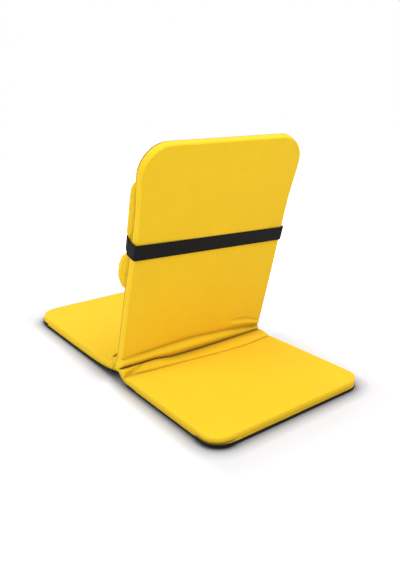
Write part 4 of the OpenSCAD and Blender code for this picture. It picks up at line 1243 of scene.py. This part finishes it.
# The add-on
class ChairSizes(bpy.types.PropertyGroup):
    """Sizes of the soft forms that a user may change."""
    crown: FloatProperty(name="Crown", description="Height of the padded faces' middle over their edges",
                         default=1.5 * MM, unit="LENGTH", min=0, max=4 * MM)
    roll_share: FloatProperty(name="Roll height", description="Height of the loose roll over its length",
                              default=0.3, subtype="FACTOR", min=0, max=0.5)
    crease_depth: FloatProperty(name="Crease depth", description="Depth of the crease behind the backrest",
                                default=9.5 * MM, unit="LENGTH", min=0, max=10 * MM)
    line_depth: FloatProperty(name="Fold depth", description="Depth of the soft fold above the roll",
                              default=5.7 * MM, unit="LENGTH", min=0, max=6 * MM)
    gather_depth: FloatProperty(name="Gather depth", description="Height of the seat's pleats",
                                default=1.6 * MM, unit="LENGTH", min=0, max=3 * MM)


class ChairColours(bpy.types.PropertyGroup):
    """Colours of the cloths that a user may change."""
    canvas: FloatVectorProperty(name="Canvas", description="Colour of the canvas covers", subtype="COLOR",
                                default=linear_of("f9ce27"), min=0, max=1)
    base_cloth: FloatVectorProperty(name="Base cloth", description="Colour of the cloth under the leaves",
                                    subtype="COLOR", default=linear_of("1b1715"), min=0, max=1)
    strap: FloatVectorProperty(name="Strap", description="Colour of the elastic strap", subtype="COLOR",
                               default=linear_of("141415"), min=0, max=1)
    # The seam's colour is painted shade in the backrest's seam groove
    seam: FloatVectorProperty(name="Seam", description="Colour of the tape in the backrest's seam",
                              subtype="COLOR", default=linear_of("6b4405"), min=0, max=1)


class CHAIR_OT_stage(bpy.types.Operator):
    """Make the camera, the floor and the light"""
    bl_idname = "floor_chair.stage"
    bl_label = "Stage"

    def execute(self, context):
        make_stage()
        return {"FINISHED"}


class CHAIR_OT_back_and_rear_cover(bpy.types.Operator):
    """Make the cover of the backrest and the rear leaf, with the loose cloth between them"""
    bl_idname = "floor_chair.back_and_rear_cover"
    bl_label = "Backrest and rear cover"

    def execute(self, context):
        back_and_rear_cover()
        # The seam's dark strip is painted shade in its groove
        seam_tape()
        return {"FINISHED"}


class CHAIR_OT_seat_cover(bpy.types.Operator):
    """Make the seat's gathered cover"""
    bl_idname = "floor_chair.seat_cover"
    bl_label = "Seat cover"

    def execute(self, context):
        seat_cover()
        return {"FINISHED"}


class CHAIR_OT_base_cloths(bpy.types.Operator):
    """Make the dark cloths under both leaves and their corner patches"""
    bl_idname = "floor_chair.base_cloths"
    bl_label = "Base cloths"

    def execute(self, context):
        base_cloth("seat_base", "seat", "seat_base_cloth", seat_length - seat_base_short, seat_base_corner,
                   seat_underside, -1, seat_base_start)
        base_cloth("rear_base", "rear_panel", "rear_base_cloth", rear_length - rear_base_short, base_corner,
                   rear_underside, 1, rear_base_start)
        corner_patch("seat_patch", "seat", "seat_corner_patch", seat_patch_measures, seat_patch_leans, -1)
        corner_patch("rear_patch", "rear_panel", "rear_corner_patch", rear_patch_measures, rear_patch_leans,
                     1)
        return {"FINISHED"}


class CHAIR_OT_lumbar(bpy.types.Operator):
    """Make the lumbar cushion and its strap"""
    bl_idname = "floor_chair.lumbar"
    bl_label = "Lumbar cushion"

    def execute(self, context):
        lumbar_cushion()
        lumbar_strap()
        return {"FINISHED"}


class CHAIR_OT_inner_parts(bpy.types.Operator):
    """Give the frames, the foam and the hinges their finishes"""
    bl_idname = "floor_chair.inner_parts"
    bl_label = "Inner parts"

    def execute(self, context):
        inner_parts()
        return {"FINISHED"}


class CHAIR_PT_panel(bpy.types.Panel):
    """The chair's pieces, in the order in which they are made"""
    bl_idname = "CHAIR_PT_panel"
    bl_label = "Floor chair"
    bl_space_type = "VIEW_3D"
    bl_region_type = "UI"
    bl_category = "Floor chair"

    def draw(self, context):
        for group in (context.scene.chair_sizes, context.scene.chair_colours):
            for name in group.__annotations__:
                self.layout.prop(group, name)
        for step in steps:
            self.layout.operator(step.bl_idname)


steps = (CHAIR_OT_stage, CHAIR_OT_back_and_rear_cover, CHAIR_OT_seat_cover, CHAIR_OT_base_cloths,
         CHAIR_OT_lumbar, CHAIR_OT_inner_parts)
classes = (ChairSizes, ChairColours, *steps, CHAIR_PT_panel)


def register():
    for each in classes:
        bpy.utils.register_class(each)
    bpy.types.Scene.chair_sizes = PointerProperty(type=ChairSizes)
    bpy.types.Scene.chair_colours = PointerProperty(type=ChairColours)


def unregister():
    del bpy.types.Scene.chair_colours, bpy.types.Scene.chair_sizes
    for each in reversed(classes):
        bpy.utils.unregister_class(each)


def main():
    """Makes the whole chair."""
    register()
    for step in steps:
        group, name = step.bl_idname.split(".")
        getattr(getattr(bpy.ops, group), name)()


if __name__ == "__main__":
    main()
